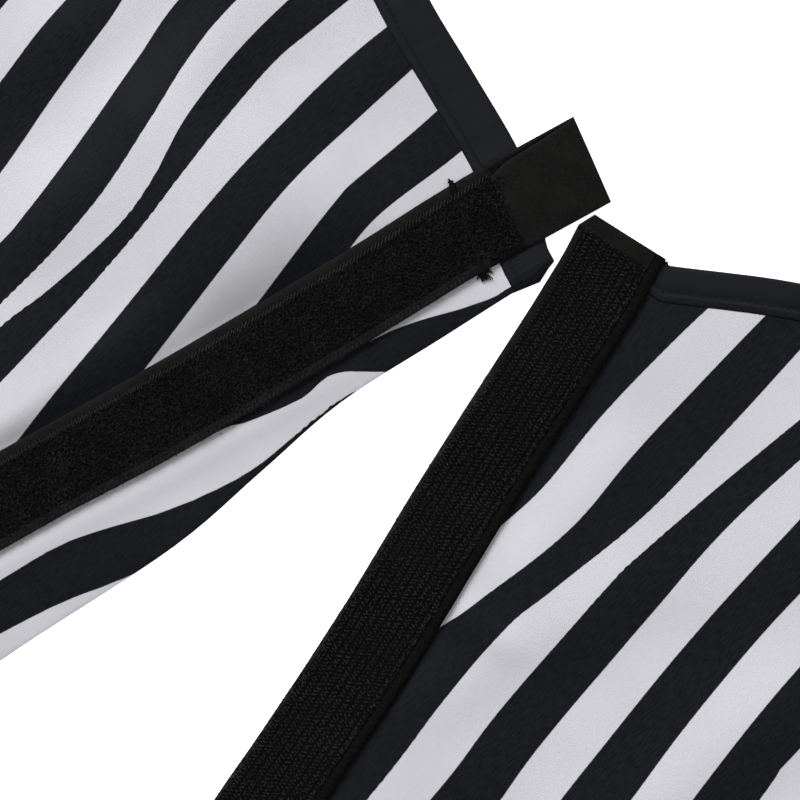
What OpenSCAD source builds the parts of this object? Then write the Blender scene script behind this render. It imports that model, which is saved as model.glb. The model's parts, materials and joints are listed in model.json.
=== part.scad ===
// Striped fly sheet for a horse, laid open flat with its outside face up.
// The chest closure is open: a loop-faced strap on the left flap and a hook-faced
// strap on the right flap meet at the closure point, below the neck opening.
// +Y runs from the chest to the tail, +X towards the flap with the hook strap, +Z up.
// Outlines are drawn in a closure frame, whose origin is the closure point.
// Each side is drawn with x growing away from the back seam, and the left is mirrored.

/* [Sheet] */
// Length of the back seam, from the withers to the rear edge
back_length = 1300; // [1150:10:1400]
// Distance from the back seam to the side hem
half_width = 930; // [880:10:980]
// Length of the neck opening, from the closure point to the withers
neck_length = 465; // [440:5:490]
// Distance from the closure point to the front hem
chest_drop = 430; // [415:5:450]
// Thickness of the woven sheet
fabric_t = 1.2; // [0.8:0.1:1.6]

/* [Tail flap] */
// Length of the tail flap behind the rear edge
tail_flap_length = 205; // [150:5:260]
// Width of the tail flap
tail_flap_width = 260; // [220:10:320]
// Radius of the tail flap's rear corners
tail_flap_radius = 80; // [40:5:100]

/* [Edge binding] */
// Width of the binding along the hem
hem_w = 20; // [14:1:26]
// Width of the neck binding on the right side
right_neck_w = 19; // [14:1:24]
// Width of the neck binding on the left side
left_neck_w = 26; // [20:1:30]
// Thickness of the binding over the sheet
binding_t = 0.8; // [0.5:0.1:1.2]

/* [Chest closure] */
// Width of both closure straps
strap_w = 50; // [48:1:52]
// Lean of the hook strap away from the back seam's line
hook_lean = 13.7; // [12:0.1:15]
// Lean of the loop strap away from the back seam's line
loop_lean = 14.3; // [13:0.1:15]
// Length of the plain pull tab above the loop pile
pull_tab_length = 55; // [45:1:58]
// Width of the raised seam ridge beside the hooks and of the bare edge beside the pile
ridge_w = 6; // [4:0.5:8]
// Thickness of each strap's backing webbing
backing_t = 1.8; // [1.4:0.1:2.4]
// Thickness of the hook tape and of the loop tape
tape_t = 1.4; // [1:0.1:2]

/* [Withers pad] */
// Depth of the fleece pad at the withers
pad_depth = 64; // [40:2:90]
// Thickness of the fleece pad
pad_t = 12; // [8:1:16]

/* [Surcingles] */
// Distance from the closure point to the front surcingle
front_surcingle_y = 760; // [700:10:850]
// Distance from the closure point to the rear surcingle
rear_surcingle_y = 1150; // [1050:10:1250]
// Length of a surcingle strap from its stitched patch to its hook
surcingle_length = 600; // [540:10:640]
// Length of the short strap that carries a catch plate
catch_strap_length = 110; // [90:5:140]
// Width of the surcingle webbing
webbing_w = 50; // [40:2:50]
// Thickness of the surcingle webbing
webbing_t = 1.4; // [1.2:0.1:1.6]

/* [Hidden] */
$fn = 48;

LEFT = -1;
RIGHT = 1;
gap = 0.6;                                     // between bodies that fold apart
lip = 1.2;                                     // how far a binding wraps past the edge
lip_z = 0.2;                                   // lowest level of a binding
binding_top = fabric_t + binding_t;
backing_top = fabric_t + backing_t;
tape_top = backing_top + tape_t;
rear_y = neck_length + back_length;
tail_y = rear_y + tail_flap_length;
closure_y = (chest_drop - tail_y) / 2;         // centres the whole outline on Y = 0
far = 4000;                                    // larger than the whole sheet

// Neck edge of each side, from the chest to the withers. The first and last
// anchors only set the directions in which the curve starts and ends.
left_tip = [-2.1, -15.2];
right_neck_front = [[-10, -18], [47, 27], [104, 72], [175, 0.25 * neck_length],
                    [232, 0.4 * neck_length]];
left_neck_front = [[-30, -25], left_tip, [8, -11.7], [30, 2.4], [58, 13.5], [104, 24.4],
                   [150, 35.3], [190, 52], [224, 95], [238, 0.345 * neck_length]];
neck_back = [[250, 0.59 * neck_length], [215, 0.81 * neck_length],
             [130, 0.946 * neck_length], [0, neck_length], [-130, 0.946 * neck_length]];

// Front corner of each side, where the hem starts
right_front_x = 104;
left_front_x = 61;
// The left flap's front edge is turned under by hand, so it wanders
left_front_anchors = [[90, -500], [left_front_x, -chest_drop], [45.6, -353.5], [29.3, -268],
                      [25.8, -207], [22.8, -150], [10.1, -87.4], [1, -43], [-6, -12]];
left_front_end = [-5.1, -27.6];                // just short of the hook strap

// The chest flaps fold along a line from the neck edge down to the front hem
fold_top = [247, 0.495 * neck_length];
fold_lean = 14.04;                             // nearly parallel to the closure straps
fold_length = 1000;                            // runs well past the hem

// Corners at the top end of each closure strap
hook_corner = [-5.3, 17.6];
loop_corner = [-45.8, 47];
hook_chamfer = [4.5, 9];                       // clears the pull tab beside it
tab_skew = 5.2;                                // the pull tab's end isn't cut square
plain_top = 10;                                // folded end of the hook strap, without hooks
fold_over_t = 0.6;                             // extra thickness of that folded end
bar_tack_drop = 80;                            // from the pull tab's end to the bar tack
bar_tack_w = 3;
bar_tack_overhang = 3;

// Surcingle hardware
surcingle_x = half_width - 36;                 // fold line of every surcingle strap
patch_length = 50;
strap_z = 3.2;                                 // underside of a surcingle strap
bar_r = 2.2;                                   // bar of a hook or catch plate
bar_z = 5.5;
bar_clearance = 0.4;
metal_t = 4;
rail_w = 4;
rail_clearance = 0.6;
slider_place = 330;                            // from the fold line to the slider
slider_length = 28;
slider_bar = 4;

function unit(v) = v / norm(v);
function left_normal(v) = [-v[1], v[0]];
function reversed(points) = [for (i = [len(points) - 1 : -1 : 0]) points[i]];
function spline_point(a, b, c, d, t) =
    0.5 * (2 * b + (c - a) * t + (2 * a - 5 * b + 4 * c - d) * t * t
           + (3 * b - a - 3 * c + d) * t * t * t);

// Smooth curve from the second anchor to the last but one
function smooth(anchors, steps = 6) = [
    for (i = [1 : len(anchors) - 3], k = [0 : steps - 1])
        spline_point(anchors[i - 1], anchors[i], anchors[i + 1], anchors[i + 2], k / steps),
    anchors[len(anchors) - 2]
];

// Unit vector to the left of a run of points, at point i
function normal_at(points, i) =
    left_normal(unit(points[min(i + 1, len(points) - 1)] - points[max(i - 1, 0)]));
function shifted(points, distance) =
    [for (i = [0 : len(points) - 1]) points[i] + distance * normal_at(points, i)];

function neck_edge(side) =
    smooth(concat(side == RIGHT ? right_neck_front : left_neck_front, neck_back));
function front_x(side) = side == RIGHT ? right_front_x : left_front_x;

// Hem from the front corner, round the side and along the rear edge to the back seam
function hem_edge(side) = concat(
    smooth([
        [front_x(side) - 190, -chest_drop], [front_x(side), -chest_drop],
        [300, 15 - chest_drop], [0.56 * half_width, 100 - chest_drop],
        [0.75 * half_width, -170], [0.88 * half_width, 60], [0.957 * half_width, 340],
        [0.995 * half_width, 700], [half_width, 1100], [half_width, rear_y - 335],
        [half_width - 25, rear_y - 125], [half_width - 90, rear_y - 30],
        [half_width - 190, rear_y], [half_width - 400, rear_y]
    ]),
    [[0, rear_y]]
);

// Closing edge of each flap, from the front hem up to the neck edge
function front_edge(side) = side == RIGHT
    ? [[-3.2, 8.9], [-0.9, 18.7], [43.3, 29.3]]
    : concat(smooth(left_front_anchors), [left_front_end]);

function outline(side) =
    concat(front_edge(side), neck_edge(side), reversed(hem_edge(side)));

module closure_frame() translate([0, closure_y, 0]) children();
module on_side(side) {
    if (side == LEFT) mirror([1, 0, 0]) children();
    else children();
}
module plate(z0, z1) translate([0, 0, z0]) linear_extrude(z1 - z0) children();

module sheet_2d(side) polygon(outline(side));

// Band between two distances to the left of a run of points
module band_2d(points, near, far_side)
    polygon(concat(shifted(points, near), reversed(shifted(points, far_side))));

// Everything in front of a flap's fold line
module flap_zone_2d(grow = 0) {
    top = fold_top + [grow, grow];
    polygon([[-200, top[1]], top,
             top + fold_length * [sin(fold_lean), -cos(fold_lean)], [-200, -fold_length]]);
}

// One side's share of the sheet behind its flap's fold line
module body_zone_2d() difference() {
    translate([0, -far / 2]) square([far / 2, far]);
    flap_zone_2d(gap);
}

// Places a closure strap's own frame: x across it, and the strap runs along -y
module loop_strap_frame() translate(loop_corner) rotate(-loop_lean) children();
module hook_strap_frame() translate(hook_corner) rotate(hook_lean) children();
module hook_strap_2d() hook_strap_frame()
    polygon([[hook_chamfer[0], 0], [strap_w, 0], [strap_w, -far / 4], [0, -far / 4],
             [0, -hook_chamfer[1]]]);

// Binding folded over an edge: a strip on the sheet's face and a lip past the edge.
// inward is 1 where the sheet lies to the left of the edge's direction, and -1 to its
// right. The children are the zone that the binding is kept to.
module bound_edge(edge, width, inward) color([0.07, 0.08, 0.1]) {
    plate(fabric_t, binding_top) intersection() {
        band_2d(edge, -lip * inward, width * inward);
        children();
    }
    plate(lip_z, fabric_t) intersection() {
        band_2d(edge, -lip * inward, 0);
        children();
    }
}

module body_panel(side) closure_frame() on_side(side)
    color([0.84, 0.83, 0.87]) plate(0, fabric_t) intersection() {
        sheet_2d(side);
        body_zone_2d();
    }

module chest_flap(side) closure_frame() on_side(side)
    color([0.84, 0.83, 0.87]) plate(0, fabric_t) intersection() {
        sheet_2d(side);
        flap_zone_2d();
    }

module neck_binding(side) closure_frame() on_side(side)
    bound_edge(neck_edge(side), side == RIGHT ? right_neck_w : left_neck_w, -1)
        body_zone_2d();

module right_flap_neck_binding() closure_frame()
    bound_edge(concat([front_edge(RIGHT)[2]], neck_edge(RIGHT)), right_neck_w, -1)
        difference() {
            flap_zone_2d();
            hook_strap_2d();
        }

// The left binding is cut off along the flap's front edge, just short of the hook strap
module left_flap_neck_binding() closure_frame() on_side(LEFT)
    bound_edge(concat([left_tip - [18, 6]], neck_edge(LEFT)), left_neck_w, -1) intersection() {
        flap_zone_2d();
        polygon(concat(front_edge(LEFT),
                       [left_tip + [gap, 0], [left_tip[0] + gap, far / 4],
                        [far / 4, far / 4], [far / 4, -chest_drop]]));
    }

module side_hem(side) closure_frame() on_side(side)
    bound_edge(hem_edge(side), hem_w, 1) body_zone_2d();

module flap_hem(side) closure_frame() on_side(side)
    bound_edge(hem_edge(side), hem_w, 1) flap_zone_2d();

// Volume of the bindings that other layers are laid over
module binding_room(side, edge, width, inward) on_side(side)
    plate(0, binding_top) band_2d(edge, -lip * inward, width * inward);

module spine_tape() closure_frame() color([0.07, 0.08, 0.1])
    translate([-15, neck_length + left_neck_w, fabric_t])
        cube([30, back_length - left_neck_w - hem_w, binding_t]);

// Fleece crescent that pads the back of the neck opening
module withers_pad() closure_frame() color([0.1, 0.1, 0.11]) difference() {
    edge = smooth(concat([for (k = [0 : 3]) neck_back[k]],
                         [for (k = [2 : -1 : 0]) [-neck_back[k][0], neck_back[k][1]]]));
    last = len(edge) - 1;
    inner = [for (i = [0 : last])
             edge[i] - (8 + pad_depth * sin(180 * i / last)) * normal_at(edge, i)];
    plate(fabric_t, fabric_t + pad_t) polygon(concat(shifted(edge, 3), reversed(inner)));
    binding_room(RIGHT, neck_edge(RIGHT), right_neck_w, -1);
    binding_room(LEFT, neck_edge(LEFT), left_neck_w, -1);
    translate([-15, neck_length, 0]) cube([30, back_length, binding_top]);
}

// Tail flap outline with round rear corners, grown by an amount on its three free edges
module tail_flap_2d(grow) {
    half = tail_flap_width / 2 + grow;
    start = rear_y + lip + gap;
    end = tail_y + grow;
    r = tail_flap_radius + grow;
    translate([-half, start]) square([2 * half, end - start - r]);
    translate([-half + r, start]) square([2 * (half - r), end - start]);
    for (x = [-half + r, half - r]) translate([x, end - r]) circle(r);
}
module tail_flap_panel() closure_frame() color([0.84, 0.83, 0.87])
    plate(0, fabric_t) tail_flap_2d(0);
module tail_flap_binding() closure_frame() color([0.07, 0.08, 0.1]) {
    plate(fabric_t, binding_top) difference() {
        tail_flap_2d(lip);
        tail_flap_2d(-hem_w);
    }
    plate(lip_z, fabric_t) difference() {
        tail_flap_2d(lip);
        tail_flap_2d(0);
    }
}

// The loop strap crosses the neck binding and stops at the front hem's binding
module loop_strap_layer(x0, x1, y0, z0, z1) closure_frame() difference() {
    loop_strap_frame() translate([x0, -chest_drop - 100, z0])
        cube([x1 - x0, chest_drop + 100 - y0, z1 - z0]);
    binding_room(LEFT, neck_edge(LEFT), left_neck_w, -1);
    plate(-1, tape_top + 1) mirror([1, 0, 0])
        band_2d(hem_edge(LEFT), -200, hem_w);
}
module loop_backing_strap() color([0.06, 0.065, 0.06])
    loop_strap_layer(0, strap_w, pull_tab_length, fabric_t, backing_top);
module loop_tape() color([0.03, 0.03, 0.03])
    loop_strap_layer(ridge_w - 1, strap_w, pull_tab_length + 1, backing_top, tape_top);
module loop_bar_tack() closure_frame() color([0.05, 0.05, 0.05]) loop_strap_frame()
    translate([-bar_tack_overhang, -bar_tack_drop - bar_tack_w / 2, tape_top])
        cube([strap_w + 2 * bar_tack_overhang, bar_tack_w, 0.6]);

module pull_tab() closure_frame() color([0.06, 0.065, 0.06]) loop_strap_frame()
    plate(binding_top + 0.4, tape_top)
        polygon([[0, 0], [strap_w, -tab_skew], [strap_w, gap - pull_tab_length],
                 [0, gap - pull_tab_length]]);

// The hook strap lies along the right flap's front edge, down to the front hem's binding
module hook_strap_layer(x0, x1, y0, y1, z0, z1) closure_frame() difference() {
    plate(z0, z1) intersection() {
        hook_strap_frame() translate([x0, -y1]) square([x1 - x0, y1 - y0]);
        hook_strap_2d();
    }
    plate(-1, z1 + 1) band_2d(hem_edge(RIGHT), -200, hem_w);
}
module hook_backing_strap() color([0.06, 0.065, 0.06])
    hook_strap_layer(0, strap_w - ridge_w, 0, chest_drop + 100, fabric_t, backing_top);
module hook_tape() color([0.02, 0.02, 0.02])
    hook_strap_layer(0, strap_w - ridge_w, plain_top, chest_drop + 100,
                     backing_top, tape_top);
module hook_seam_ridge() color([0.06, 0.065, 0.06])
    hook_strap_layer(strap_w - ridge_w, strap_w, 0, chest_drop + 100, fabric_t, tape_top);
module hook_strap_fold() color([0.06, 0.065, 0.06])
    hook_strap_layer(0, strap_w - ridge_w, 0, plain_top, backing_top,
                     backing_top + fold_over_t);

// Surcingle pieces are drawn on the right side at Y = 0 of their own strap
module at_surcingle(side, y) closure_frame() on_side(side)
    translate([surcingle_x, y, 0]) children();

module stitched_patch() color([0.06, 0.065, 0.06])
    translate([-patch_length - gap, -webbing_w / 2, fabric_t])
        cube([patch_length, webbing_w, strap_z - 0.3 - fabric_t]);

// Webbing from the fold line to a sewn loop round a hardware bar
module looped_strap(length) color([0.06, 0.065, 0.06]) difference() {
    union() {
        translate([-length, -webbing_w / 2, strap_z])
            cube([length - gap, webbing_w, webbing_t]);
        translate([-length, 0, bar_z]) rotate([90, 0, 0])
            cylinder(r = bar_r + bar_clearance + webbing_t, h = webbing_w, center = true);
    }
    translate([-length, 0, bar_z]) rotate([90, 0, 0])
        cylinder(r = bar_r + bar_clearance, h = webbing_w + 2, center = true);
}

// Flat rectangle with round corners, centred on the origin
module rounded_2d(size, r) {
    square([size[0] - 2 * r, size[1]], center = true);
    square([size[0], size[1] - 2 * r], center = true);
    for (x = [-1, 1], y = [-1, 1])
        translate([x * (size[0] / 2 - r), y * (size[1] / 2 - r)]) circle(r);
}

// Bar, side rails and cross bar shared by the hooks and the catch plates
rail_inner = webbing_w / 2 + rail_clearance;
frame_w = 2 * (rail_inner + rail_w);
frame_reach = 12;                              // from the bar to the cross bar's near side
frame_tail = 3.4;                              // behind the bar, short enough to clear the sheet
module hardware_frame(length) translate([-length, 0, bar_z]) {
    rotate([90, 0, 0]) cylinder(r = bar_r, h = 2 * rail_inner + rail_w, center = true);
    translate([0, 0, -metal_t / 2]) linear_extrude(metal_t) difference() {
        translate([(frame_tail - frame_reach - 2) / 2, 0])
            rounded_2d([frame_reach + 2 + frame_tail, frame_w], 3);
        translate([-frame_reach / 2 + 2, 0])
            square([frame_reach + 20, 2 * rail_inner], center = true);
    }
    translate([-frame_reach - 2, 0, 0])
        cube([4, 2 * rail_inner + rail_w, metal_t], center = true);
    children();
}

// Hook with a T-shaped head
module t_hook(length) color([0.7, 0.7, 0.72]) hardware_frame(length)
    translate([0, 0, -metal_t / 2]) linear_extrude(metal_t) {
        translate([-frame_reach - 15, 0]) rounded_2d([32, 20], 3);
        translate([-frame_reach - 30, 0]) rounded_2d([9, 42], 4);
    }

// Plate with a slot that takes the T-shaped head
module catch_plate(length) color([0.7, 0.7, 0.72]) hardware_frame(length)
    translate([-frame_reach - 17, 0, -metal_t / 2]) linear_extrude(metal_t) difference() {
        rounded_2d([34, frame_w], 5);
        rounded_2d([12, 47], 4);
    }

// Three-bar slider: the strap runs over the middle bar and under the outer two
module slider(place) color([0.7, 0.7, 0.72]) translate([-place, 0, 0]) {
    low = fabric_t + 0.3;
    high = strap_z + webbing_t + 0.3;
    bar_t = strap_z - 0.3 - low;
    for (y = [-1, 1]) translate([0, y * (rail_inner + 1.7), (low + high + bar_t) / 2])
        cube([slider_length, 3.4, high + bar_t - low], center = true);
    translate([-slider_bar / 2, -rail_inner - 1, low])
        cube([slider_bar, 2 * rail_inner + 2, bar_t]);
    for (x = [-1, 1]) translate([x * (slider_length - slider_bar) / 2, 0, high + bar_t / 2])
        cube([slider_bar, 2 * rail_inner + 2, bar_t], center = true);
}

body_panel(LEFT);  // left_body_panel
body_panel(RIGHT);  // right_body_panel
chest_flap(LEFT);  // left_chest_flap
chest_flap(RIGHT);  // right_chest_flap
spine_tape();
withers_pad();
tail_flap_panel();
tail_flap_binding();
neck_binding(LEFT);  // left_neck_binding
neck_binding(RIGHT);  // right_neck_binding
left_flap_neck_binding();
right_flap_neck_binding();
side_hem(LEFT);  // left_side_hem
side_hem(RIGHT);  // right_side_hem
flap_hem(LEFT);  // left_flap_hem
flap_hem(RIGHT);  // right_flap_hem
loop_backing_strap();
loop_tape();
loop_bar_tack();
pull_tab();
hook_backing_strap();
hook_tape();
hook_seam_ridge();
hook_strap_fold();
at_surcingle(RIGHT, front_surcingle_y) stitched_patch();  // front_surcingle_patch
at_surcingle(RIGHT, front_surcingle_y) looped_strap(surcingle_length);  // front_surcingle_strap
at_surcingle(RIGHT, front_surcingle_y) slider(slider_place);  // front_slider
at_surcingle(RIGHT, front_surcingle_y) t_hook(surcingle_length);  // front_t_hook
at_surcingle(RIGHT, rear_surcingle_y) stitched_patch();  // rear_surcingle_patch
at_surcingle(RIGHT, rear_surcingle_y) looped_strap(surcingle_length);  // rear_surcingle_strap
at_surcingle(RIGHT, rear_surcingle_y) slider(slider_place);  // rear_slider
at_surcingle(RIGHT, rear_surcingle_y) t_hook(surcingle_length);  // rear_t_hook
at_surcingle(LEFT, front_surcingle_y) stitched_patch();  // front_catch_patch
at_surcingle(LEFT, front_surcingle_y) looped_strap(catch_strap_length);  // front_catch_strap
at_surcingle(LEFT, front_surcingle_y) catch_plate(catch_strap_length);  // front_catch_plate
at_surcingle(LEFT, rear_surcingle_y) stitched_patch();  // rear_catch_patch
at_surcingle(LEFT, rear_surcingle_y) looped_strap(catch_strap_length);  // rear_catch_strap
at_surcingle(LEFT, rear_surcingle_y) catch_plate(catch_strap_length);  // rear_catch_plate
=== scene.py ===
"""Looks of a striped horse fly sheet, laid open flat and seen from straight above its open chest closure."""
import json
import math

import bmesh
import bpy
import numpy as np
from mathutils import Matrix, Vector, geometry


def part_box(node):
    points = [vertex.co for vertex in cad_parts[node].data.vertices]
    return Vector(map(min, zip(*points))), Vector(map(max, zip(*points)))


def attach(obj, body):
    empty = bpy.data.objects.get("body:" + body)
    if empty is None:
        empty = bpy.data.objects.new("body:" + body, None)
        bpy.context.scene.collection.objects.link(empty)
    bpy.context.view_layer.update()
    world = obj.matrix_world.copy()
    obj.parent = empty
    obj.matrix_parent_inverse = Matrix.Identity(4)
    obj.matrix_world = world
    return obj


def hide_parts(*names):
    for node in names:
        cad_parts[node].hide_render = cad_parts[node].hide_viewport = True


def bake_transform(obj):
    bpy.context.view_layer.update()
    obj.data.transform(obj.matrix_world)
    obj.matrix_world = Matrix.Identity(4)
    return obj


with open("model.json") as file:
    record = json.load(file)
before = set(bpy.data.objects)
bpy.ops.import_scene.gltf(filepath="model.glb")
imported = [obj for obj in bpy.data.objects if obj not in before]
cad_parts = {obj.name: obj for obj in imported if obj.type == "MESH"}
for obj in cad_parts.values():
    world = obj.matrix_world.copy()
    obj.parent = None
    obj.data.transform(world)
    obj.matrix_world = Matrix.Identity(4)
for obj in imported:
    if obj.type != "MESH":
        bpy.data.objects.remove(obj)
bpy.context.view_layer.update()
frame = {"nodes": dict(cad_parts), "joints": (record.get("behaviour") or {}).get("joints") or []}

MM = 0.001

# ---- Places taken from the frame ----
JOINTS = {joint["name"]: joint for joint in frame["joints"]}
RIDGE_TOP = 29.45 * MM                       # top corner of the seam ridge above the closure point
CLOSURE = np.array([0.0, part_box("hook_seam_ridge")[1].y - RIDGE_TOP])
FABRIC_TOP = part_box("left_body_panel")[1].z
SEWN_LOW = FABRIC_TOP - 0.1 * MM             # underside of what is sewn on, just inside the cloth
BINDING_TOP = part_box("left_side_hem")[1].z
STRAP_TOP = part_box("loop_tape")[1].z
FLAP_BLEND = 50 * MM                         # width of the bend where a flap folds back

# Both closure straps: top corner from the closure point in mm, lean in degrees, and widths
STRAP_W = 50 * MM
LOOP_CORNER, LOOP_LEAN = (-45.8, 47.0), -14.3
HOOK_CORNER, HOOK_LEAN = (-5.3, 17.6), 13.7
RIDGE_W = 6 * MM
TAB_LENGTH = 55 * MM

# The camera's picture: its middle from the closure point, its turn and its width
VIEW_MIDDLE = np.array([-1.6, -126.1]) * MM
VIEW_TURN = math.radians(46)
VIEW_WIDTH = 432 * MM


# ---- Plane geometry ----
class StrapFrame:
    """A closure strap's own frame: u across it from its left edge, v down it from its top end.
    bow lists (v, left shift, right shift) in mm, as the soft strap's edges aren't quite straight."""

    def __init__(self, body, corner, lean, bow):
        angle = math.radians(lean)
        self.body = body
        self.origin = CLOSURE + np.array(corner) * MM
        self.across = np.array([math.cos(angle), math.sin(angle)])
        self.down = np.array([math.sin(angle), -math.cos(angle)])
        self.bow = np.array(bow, float) * MM

    def edges(self, v):
        """How far each side edge is shifted at v."""
        return (np.interp(v, self.bow[:, 0], self.bow[:, k]) for k in (1, 2))

    def straight(self, x, y):
        """u and v on the unbowed strap."""
        dx, dy = x - self.origin[0], y - self.origin[1]
        return dx * self.across[0] + dy * self.across[1], dx * self.down[0] + dy * self.down[1]

    def measure(self, x, y):
        """u and v on the bowed strap."""
        u, v = self.straight(x, y)
        left, right = self.edges(v)
        share = np.clip((u - left) / (STRAP_W + right - left), 0, 1)
        return u - left - (right - left) * share, v

    def shift(self, u, v):
        """How far across the bowed strap lies from the straight one."""
        left, right = self.edges(v)
        return left + (right - left) * np.clip(u / STRAP_W, 0, 1)

    def unbent(self, u, v):
        """The place in the sheet's plane of u and v on the unbowed strap."""
        return self.origin + np.multiply.outer(u, self.across) + np.multiply.outer(v, self.down)

    def place(self, u, v):
        return self.unbent(u + self.shift(u, v), v)

    def bent(self, outline, share=None):
        """A straight outline carried onto the bowed strap, or a share of the way for each point."""
        fine = subdivided(outline, 8 * MM)
        shift = self.shift(*self.straight(*fine.T))
        if share is not None:
            shift = shift * share(fine)
        return fine + shift[:, None] * self.across


LOOP = StrapFrame("left_flap", LOOP_CORNER, LOOP_LEAN, [
    (-20, -0.6, -0.6), (0, -0.8, -0.6), (60, -1.8, -1.6), (90, -1.0, -2.2), (130, 1.2, -0.8), (170, 2.2, 0.4),
    (210, 3.0, 1.0), (250, 3.4, 1.8), (290, 3.3, 1.6), (340, 3.0, -0.4), (480, 2.4, -1.0)])
HOOK = StrapFrame("right_flap", HOOK_CORNER, HOOK_LEAN, [(v, shift, shift) for v, shift in (
    (-10, 0.2), (8, 0.4), (28, 2.0), (60, 2.3), (130, 1.6), (175, 1.7), (245, 3.2), (290, 2.9), (340, 1.5),
    (370, 0.0), (480, -0.5))])


def smoothstep(t):
    t = np.clip(t, 0.0, 1.0)
    return t * t * (3 - 2 * t)


def boundary_of(node):
    """Outline of the top face of a CAD node, anticlockwise, as an (n, 2) array in metres."""
    bm = bmesh.new()
    bm.from_mesh(frame["nodes"][node].data)
    bmesh.ops.remove_doubles(bm, verts=bm.verts, dist=1e-6)
    top = max(v.co.z for v in bm.verts)
    faces = {f for f in bm.faces if f.normal.z > 0.99 and top - f.calc_center_median().z < 1e-5}
    following = {}
    for face in faces:
        for loop in face.loops:
            if not any(other in faces and other is not face for other in loop.edge.link_faces):
                following[loop.vert] = loop.link_loop_next.vert
    first = max(following, key=lambda v: (round(v.co.y, 6), round(v.co.x, 6)))
    points, vert = [], first
    while not points or vert is not first:
        points.append(vert.co.xy[:])
        vert = following[vert]
    bm.free()
    return np.array(points)


def subdivided(points, step, closed=True):
    """The same line with a point at least every step; its corners stay."""
    ends = np.roll(points, -1, axis=0) if closed else points[1:]
    made = []
    for a, b in zip(points, ends):
        count = max(1, round(math.dist(a, b) / step))
        made.extend(a + (b - a) * k / count for k in range(count))
    if not closed:
        made.append(points[-1])
    return np.array(made)


def lengths_along(points):
    return np.concatenate([[0], np.cumsum(np.linalg.norm(np.diff(points, axis=0), axis=1))])


def evenly(points, step):
    """An open line resampled to equal steps."""
    along = lengths_along(points)
    stations = np.linspace(0, along[-1], max(2, round(along[-1] / step) + 1))
    return np.stack([np.interp(stations, along, points[:, k]) for k in (0, 1)], axis=1)


def normals_of(points, closed=False):
    """Unit vectors to the left of a line, one for each point."""
    if closed:
        tangent = np.roll(points, -1, axis=0) - np.roll(points, 1, axis=0)
    else:
        tangent = np.gradient(points, axis=0)
    tangent /= np.linalg.norm(tangent, axis=1)[:, None]
    return np.stack([-tangent[:, 1], tangent[:, 0]], axis=1)


def inside(x, y, outline):
    """Whether each point lies inside a closed outline."""
    result = np.zeros(len(x), bool)
    for (x0, y0), (x1, y1) in zip(np.roll(outline, 1, axis=0), outline):
        crosses = (y1 > y) != (y0 > y)
        if y1 != y0:
            result ^= crosses & (x < (x0 - x1) * (y - y1) / (y0 - y1) + x1)
    return result


def edge_run(sheet_outline, band_node, step):
    """The stretch of a sheet's outline that a binding covers, with the sheet on its left."""
    fine = subdivided(sheet_outline, 1 * MM)
    covered = inside(fine[:, 0], fine[:, 1], boundary_of(band_node))
    start = int(np.argmin(covered))
    fine, covered = np.roll(fine, -start, axis=0), np.roll(covered, -start)
    edges = np.flatnonzero(np.diff(np.concatenate([[0], covered.astype(int), [0]])))
    runs = sorted(zip(edges[::2], edges[1::2]), key=lambda run: run[1] - run[0])
    return evenly(fine[runs[-1][0]:runs[-1][1]], step)


def smooth_line(anchors, count=8):
    """Smooth curve through every anchor."""
    points = np.array(anchors, float)
    points = np.vstack([2 * points[0] - points[1], points, 2 * points[-1] - points[-2]])
    t = np.arange(count)[:, None] / count
    made = [b + 0.5 * ((c - a) * t + (2 * a - 5 * b + 4 * c - d) * t ** 2 + (3 * b - a - 3 * c + d) * t ** 3)
            for a, b, c, d in zip(points[:-3], points[1:-2], points[2:-1], points[3:])]
    return np.vstack([*made, points[-2:-1]])


# ---- How the cloth lies: height of its underside over the ground ----
def wave_set(seed, count, shortest, longest):
    """Random plane waves, as wave numbers along x and y and phases."""
    rng = np.random.default_rng(seed)
    length = np.exp(rng.uniform(math.log(shortest), math.log(longest), count))
    heading = rng.uniform(0, 2 * math.pi, count)
    phase = rng.uniform(0, 2 * math.pi, count)
    return np.stack([2 * math.pi / length * np.cos(heading), 2 * math.pi / length * np.sin(heading), phase])


def sum_of(waves, x, y):
    """Sum of plane waves with a spread of about 1."""
    total = sum(np.cos(a * x + b * y + c) for a, b, c in waves.T)
    return total / math.sqrt(waves.shape[1] / 2)


BODY_WAVES = wave_set(11, 26, 0.13, 0.50)
SWELL, SWELL_START, SWELL_SHARPNESS = 3.6 * MM, 0.35, 2.4      # low folds that rise from a flat ground
CHEST_WAVES = wave_set(5, 22, 0.07, 0.20)
FINE_WAVES = wave_set(23, 16, 0.035, 0.07)

# Creases near the closure, from the closure point in mm: start, end, width and height
CREASES = [
    ((-214, -40), (-200, -230), 22, 4.6),
    ((-262, -60), (-276, -200), 24, 4.0),
    ((-140, 0), (-150, -60), 20, 2.0),
    ((102, -50), (112, -150), 16, 2.0),
    ((118, -240), (160, -90), 25, 4.6),
    ((60, -190), (140, -176), 10, 2.0),
    ((236, -250), (262, -60), 26, 3.6),
    ((150, -300), (170, -400), 26, 4.0),
]
FADE = 0.35                                  # share of a crease over which its end fades
# The cloth's puff beside the stiff loop strap: place along the strap, height and width, in mm
PUFF = np.array([(60, 1.0, 30), (110, 3.0, 40), (150, 13.5, 44), (175, 19.4, 46), (205, 19.4, 40),
                 (240, 11.5, 31), (280, 8.0, 23), (345, 7.5, 15), (420, 3.0, 18), (500, 0.0, 20)]) * MM
# The low fold that the loop strap lies on: place along the strap, height and reach of its far side, in mm
STRAP_RAISE = np.array([(60, 0.0, 30), (125, 4.2, 30), (300, 4.6, 38), (420, 6.5, 64), (500, 0.0, 64)]) * MM

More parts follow.
